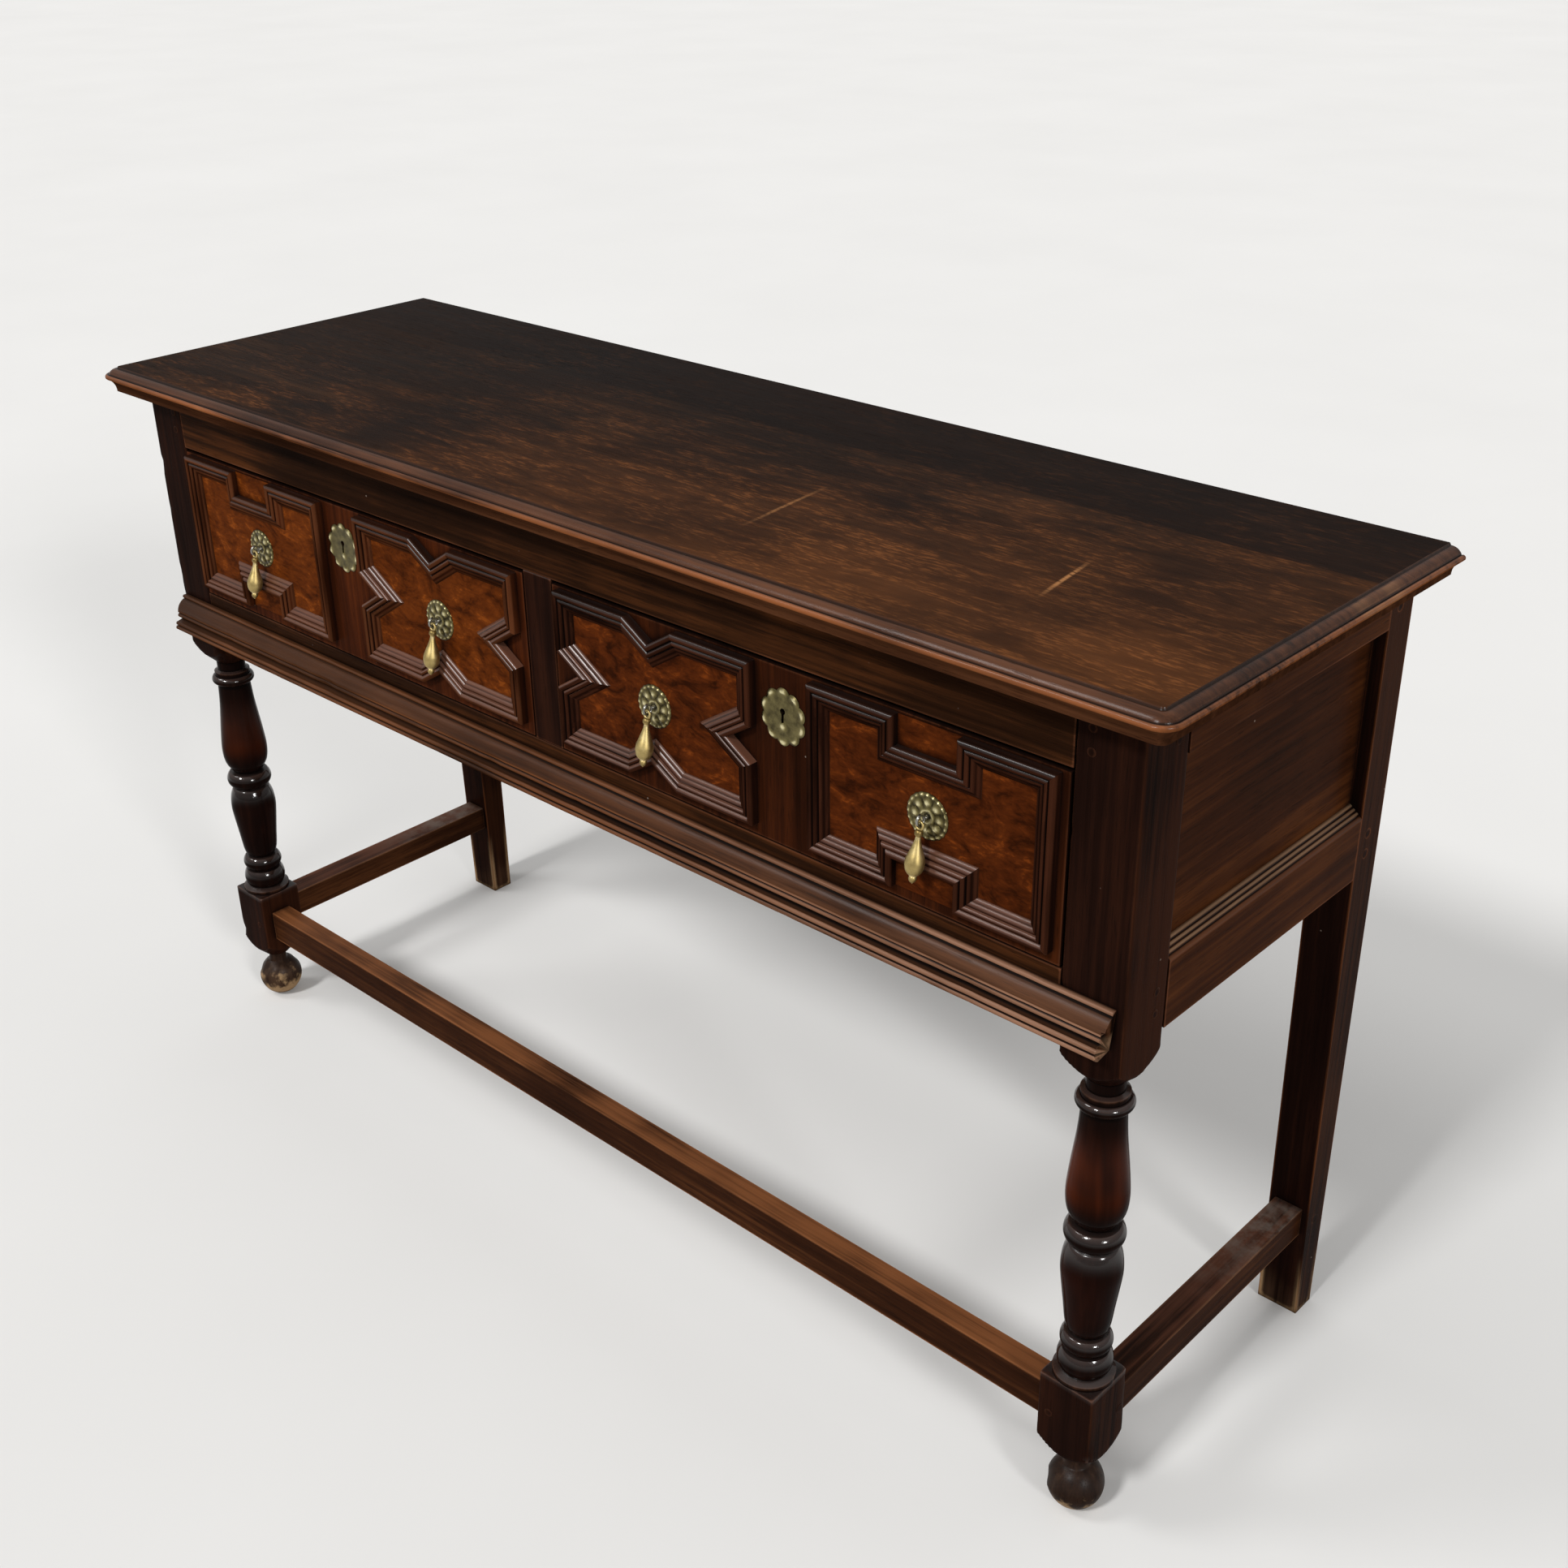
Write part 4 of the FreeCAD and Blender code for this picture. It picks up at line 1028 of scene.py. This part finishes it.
def eye_pin(build, px):
    """Wire eye, its shank through the front and the two ends clenched inside."""
    steel = 1
    centre = Vector((px, EYE_Y, HANDLE_Z))
    eye = Matrix.Translation(centre) @ Matrix.Rotation(math.pi / 2, 4, "Y")
    build.torus(eye, EYE_RADIUS, EYE_WIRE, steel)
    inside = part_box("right_drawer_lock_case")[1].y
    start = EYE_Y + EYE_RADIUS
    shank = Matrix.Translation((px, start, HANDLE_Z)) @ Matrix.Rotation(math.pi / 2, 4, "X")
    length = inside + 0.0012 - start
    profile = [
        (0.0016, 0.0),
        (SHANK_RADIUS, -SHANK_EASE),
        (SHANK_RADIUS, SHANK_EASE - length),
        (0.0015, -length),
    ]
    build.lathe([Vector(point) for point in profile], shank, 20, steel)
    for way in (-1.0, 1.0):
        rings = []
        for t in spread(0.0, 1.0, 8):
            width = CLENCH_HALF * (1.0 - 0.45 * t)
            lift = 0.0002 + 0.0012 * (1.0 - t) ** 2
            z = HANDLE_Z + way * (0.001 + CLENCH_LENGTH * t)
            ring = [(-width, 0.0), (width, 0.0), (width * 0.6, lift), (-width * 0.6, lift)]
            rings.append(build.ring([(px + dx, inside + dy, z) for dx, dy in ring]))
        build.solid(rings, steel)


def handle_fittings(side, mirror, brass, steel):
    build = Build()
    for px in HANDLES.values():
        rose(build, px)
        eye_pin(build, px)
    name = side + "_drawer_handle_fittings"
    build.piece(name + "_embossed", side + "_drawer", "old_brass", [brass, steel], [name], mirror)


def drop(side, which, mirror, brass):
    build = Build()
    hang = Matrix.Translation((HANDLES[which], EYE_Y, HANDLE_Z))
    hang = hang @ Matrix.Rotation(-math.radians(DROP_LEAN), 4, "X")
    build.lathe(outline(DROP_PROFILE, 0.5), hang, 48)
    ring = hang @ Matrix.Translation((0.0, 0.0, -EYE_RADIUS)) @ Matrix.Rotation(math.pi / 2, 4, "X")
    build.torus(ring, RING_RADIUS, RING_WIRE)
    name = side + "_drawer_" + which + "_drop"
    build.piece(name + "_turned", name, "old_brass", [brass], [name], mirror)


def plate_bound(angle):
    """How far the key plate reaches at an angle."""
    return PLATE_REACH + LOBE_REACH * abs(math.cos(PLATE_LOBES / 2 * angle)) ** 0.75


def plate_polar(point):
    across, up = point.x, point.y / PLATE_STRETCH
    return math.hypot(across, up), math.atan2(across, up)


def plate_relief(point):
    """Height and crest of the key plate at a point."""
    reach, angle = plate_polar(point)
    share = reach / plate_bound(angle)
    bead = swell(share, 0.88, 0.07) * abs(math.cos(PLATE_LOBES / 2 * angle)) ** 3
    boss = swell(math.hypot(point.x, point.y + 0.0085), 0.0, 0.0028)
    slope = min(1.0, (1.0 - share) / 0.05)
    height = 0.0005 + 0.0005 * slope + 0.0013 * bead + 0.0013 * boss
    return height, min(1.0, 0.24 + 0.85 * bead + 0.8 * boss)


def within(point, ring):
    hit = False
    for a, b in zip(ring, ring[1:] + ring[:1]):
        if (a.y > point.y) != (b.y > point.y):
            if point.x < a.x + (b.x - a.x) * (point.y - a.y) / (b.y - a.y):
                hit = not hit
    return hit


def key_plate(side, mirror, brass):
    """Lobed plate with a bead on each lobe, a sunk field, a keyhole and a boss below it."""
    border = []
    for angle in full_turn(200):
        reach = plate_bound(angle)
        border.append(Vector((reach * math.sin(angle), PLATE_STRETCH * reach * math.cos(angle))))
    centre = KEYHOLE_Z + 0.0025 - PLATE_Z
    keyhole = []
    for i in range(17):
        angle = math.radians(-62.0 + 304.0 * i / 16)
        x, z = KEYHOLE_RADIUS * math.cos(angle), centre + KEYHOLE_RADIUS * math.sin(angle)
        keyhole.append(Vector((x, z)))
    keyhole += [Vector((x, KEYHOLE_FOOT - PLATE_Z)) for x in (-KEYHOLE_HALF, KEYHOLE_HALF)]
    rims = (range(len(border)), range(len(border), len(border) + len(keyhole)))
    edges = [edge for rim in rims for edge in zip(rim, [*rim[1:], rim[0]])]

    points = border + keyhole
    spacing, farthest = 0.0008, 0.026
    steps = math.ceil(farthest / spacing)
    for row in range(-steps, steps + 1):
        for column in range(-steps, steps + 1):
            point = Vector(((column + 0.5 * (row % 2)) * spacing, row * spacing * 0.87))
            reach, angle = plate_polar(point)
            if reach < plate_bound(angle) - 0.0005 and not within(point, keyhole):
                if min((point - other).length for other in keyhole) > 0.0004:
                    points.append(point)
    flat, _, faces, _, _, _ = delaunay_2d_cdt(points, edges, [], 0, 1e-7)

    build = Build()
    shaped = [plate_relief(p) for p in flat]
    middle = Vector((LOCK_X, FRONT_Y, PLATE_Z))
    spots = [middle + Vector((p.x, -rise, p.y)) for p, (rise, proud) in zip(flat, shaped)]
    front = build.ring(spots, [proud for rise, proud in shaped])
    back = build.ring([Vector((spot.x, FRONT_Y, spot.z)) for spot in spots])
    for face in faces:
        middle = sum((flat[i] for i in face), Vector((0.0, 0.0))) / len(face)
        if within(middle, border) and not within(middle, keyhole):
            build.face([front[i] for i in face])
            build.face([back[i] for i in face])
    for rim in rims:
        build.skin([[front[i] for i in rim], [back[i] for i in rim]])
    name = side + "_drawer_key_plate"
    build.piece(name + "_embossed", side + "_drawer", "old_brass", [brass], [name], mirror)


# Finish of the nodes that keep their shape.
def soften(node, width):
    """Eased edges, so that they catch the light."""
    weld = node.modifiers.new("weld", "WELD")
    weld.merge_threshold = 0.00001
    flat = node.modifiers.new("flat", "DECIMATE")
    flat.decimate_type = "DISSOLVE"
    flat.angle_limit = math.radians(0.5)
    bevel = node.modifiers.new("bevel", "BEVEL")
    bevel.width = width
    bevel.segments = 2
    bevel.limit_method = "ANGLE"
    bevel.angle_limit = math.radians(40.0)
    normals = node.modifiers.new("normals", "WEIGHTED_NORMAL")
    normals.keep_sharp = True


def dress(names, material, width=EASE):
    for name in names:
        node = nodes[name]
        node.data.materials.clear()
        node.data.materials.append(material)
        if width:
            soften(node, width)


def pair(*stems):
    return [stem + end for stem in stems for end in ("_right", "_left")]


rail_oak = dark_oak("rail_oak", "X", RAIL_SHADES)
square_oak = post_oak("post_oak")
peg_oak = dark_oak("peg_oak", "Z", STILE_SHADES, rubbed=0.2)
side_oak = dark_oak("side_oak", "Y", SIDE_SHADES)
# Stretchers: upward faces painted lighter, as wear and light from above.
cross_oak = dark_oak("stretcher_oak", "X", STRETCHER_SHADES, (138, 88, 54), 0.8, (122, 75, 44))
long_oak = dark_oak(
    "side_stretcher_oak", "Y", STRETCHER_SHADES, (134, 94, 66), 0.7, (98, 60, 44), (0.0, 0.14)
)
# The left drawer front is a lighter copy, painted light as it stands nearer the light.
front_oak = {
    "right": dark_oak("right_front_oak", "Z", FRONT_SHADES, rubbed=0.3),
    "left": dark_oak("left_front_oak", "Z", LEFT_FRONT_LIT_SHADES, rubbed=0.3),
}
leg_oak = turned_oak("leg_oak")
strip_oak = reed_oak("reed_oak")
ball_oak = foot_oak("foot_oak")
inner_x, inner_y = (inner_oak("inner_oak_" + axis.lower(), axis, INNER_SHADES) for axis in "XY")
behind_x, behind_z = (inner_oak("back_oak_" + axis.lower(), axis, BEHIND_SHADES) for axis in "XZ")
# The left veneer has fewer dark knots, and is painted lighter as it stands nearer the light.
veneers = {
    "right": burr_veneer("right_veneer", VENEER_SHADES, (112, 53, 16), 0.7),
    "left": burr_veneer("left_veneer", LEFT_VENEER_LIT_SHADES, (124, 62, 18), 0.35),
}
# The left frames are lighter copies, painted light as they stand nearer the light.
mitred_oak = {
    "right": frame_oak("right_frame_oak", FRAME_SHADES, (72, 40, 26)),
    "left": frame_oak("left_frame_oak", LEFT_FRAME_LIT_SHADES, (96, 58, 36)),
}
iron = lock_iron("lock_iron")
rose_brass = old_brass("rose_brass", ROSE_SHADES, 0.37)
drop_brass = old_brass("drop_brass", DROP_SHADES, 0.47)
pin_steel = old_brass("pin_steel", STEEL_SHADES, 0.3)

dress(["front_top_rail", "front_bottom_rail"], rail_oak)
dress(["centre_muntin"], square_oak)
dress(pair("back_leg"), back_leg_oak("back_leg_oak"), LEG_EASE)
dress(pair("side_top_rail", "side_bottom_rail", "side_panel"), side_oak)
dress(["front_stretcher"], cross_oak, STRETCHER_EASE)
dress(pair("side_stretcher"), long_oak, STRETCHER_EASE)
dress(["joint_pegs"], peg_oak, FINE_EASE)
dress(["back_top_rail", "back_bottom_rail"] + pair("back_panel"), behind_x)
dress(["back_muntin"], behind_z)
dress(["centre_bearer"] + pair("side_bearer"), inner_y)

for side, mirror in (("right", False), ("left", True)):
    stem = side + "_drawer_"
    dress([stem + "front"], front_oak[side])
    dress([stem + "inner_side", stem + "outer_side"], inner_y)
    dress([stem + "back", stem + "bottom"], inner_x)
    dress([stem + "fields"], veneers[side], 0.0)
    dress([stem + "lock_case", stem + "lock_bolt"], iron, FINE_EASE)
    drawer_mouldings(side, mirror, mitred_oak[side])
    handle_fittings(side, mirror, rose_brass, pin_steel)
    key_plate(side, mirror, rose_brass)
    for which in HANDLES:
        drop(side, which, mirror, drop_brass)
    front_leg(side, mirror, square_oak, leg_oak)
    front_foot(side, mirror, ball_oak)
    side_reeds(side, mirror, strip_oak)

top_pieces(
    top_oak("top_front_oak", TOP_SHADES, (112, 66, 34), 0.55),
    top_oak("top_back_oak", BACK_SHADES, (70, 44, 30), 0.35),
    edge_oak("edge_oak"),
)
base_moulding(base_oak("base_oak", *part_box("front_base_moulding")))


# Floor, light and camera.
def ground(material, reach=30.0):
    mesh = bpy.data.meshes.new("floor")
    corners = [(reach * x, reach * y, 0.0) for x, y in ((-1, -1), (1, -1), (1, 1), (-1, 1))]
    mesh.from_pydata(corners, [], [(0, 1, 2, 3)])
    mesh.materials.append(material)
    floor = link("floor", mesh)


def sun(name, toward, strength, blur):
    lamp = bpy.data.lights.new(name, "SUN")
    lamp.energy = strength
    lamp.angle = math.radians(blur)
    link(name, lamp).rotation_euler = Vector(toward).to_track_quat("Z", "Y").to_euler()


def sky(horizon=0.42, overhead=0.6):
    """Soft light from above, dim near the horizon."""
    world = bpy.data.worlds.new("studio")
    bpy.context.scene.world = world
    world.use_nodes = True
    tree = world.node_tree
    place = tree.nodes.new("ShaderNodeTexCoord")
    split = tree.nodes.new("ShaderNodeSeparateXYZ")
    ramp = tree.nodes.new("ShaderNodeValToRGB")
    stops = ((0.5, horizon), (0.95, overhead))
    for element, (position, level) in zip(ramp.color_ramp.elements, stops):
        element.position = position
        element.color = (level, level, level, 1.0)
    tree.links.new(place.outputs["Generated"], split.inputs[0])
    tree.links.new(split.outputs["Z"], ramp.inputs[0])
    tree.links.new(ramp.outputs[0], tree.nodes["Background"].inputs["Color"])


def photo_camera():
    data = bpy.data.cameras.new("photo_camera")
    data.sensor_width = SENSOR_MM
    data.lens = FOCAL_PIXELS * SENSOR_MM / PHOTO_PIXELS
    camera = link("photo_camera", data)
    camera.matrix_world = (
        Matrix.Translation(CAMERA_AT)
        @ Matrix.Rotation(math.radians(CAMERA_AZIMUTH), 4, "Z")
        @ Matrix.Rotation(math.radians(90.0 - CAMERA_ELEVATION), 4, "X")
        @ Matrix.Rotation(math.radians(CAMERA_ROLL), 4, "Z")
    )
    bpy.context.scene.camera = camera


ground(floor_paint("floor_paint"))
sun("key_light", (-0.02, -0.72, 0.69), 1.9, 9.0)
sun("side_light", (0.88, -0.28, 0.38), 1.3, 10.0)
sun("left_light", (-0.5, -0.42, 0.75), 0.65, 15.0)
sky()
photo_camera()
bpy.context.scene.view_settings.view_transform = "Standard"
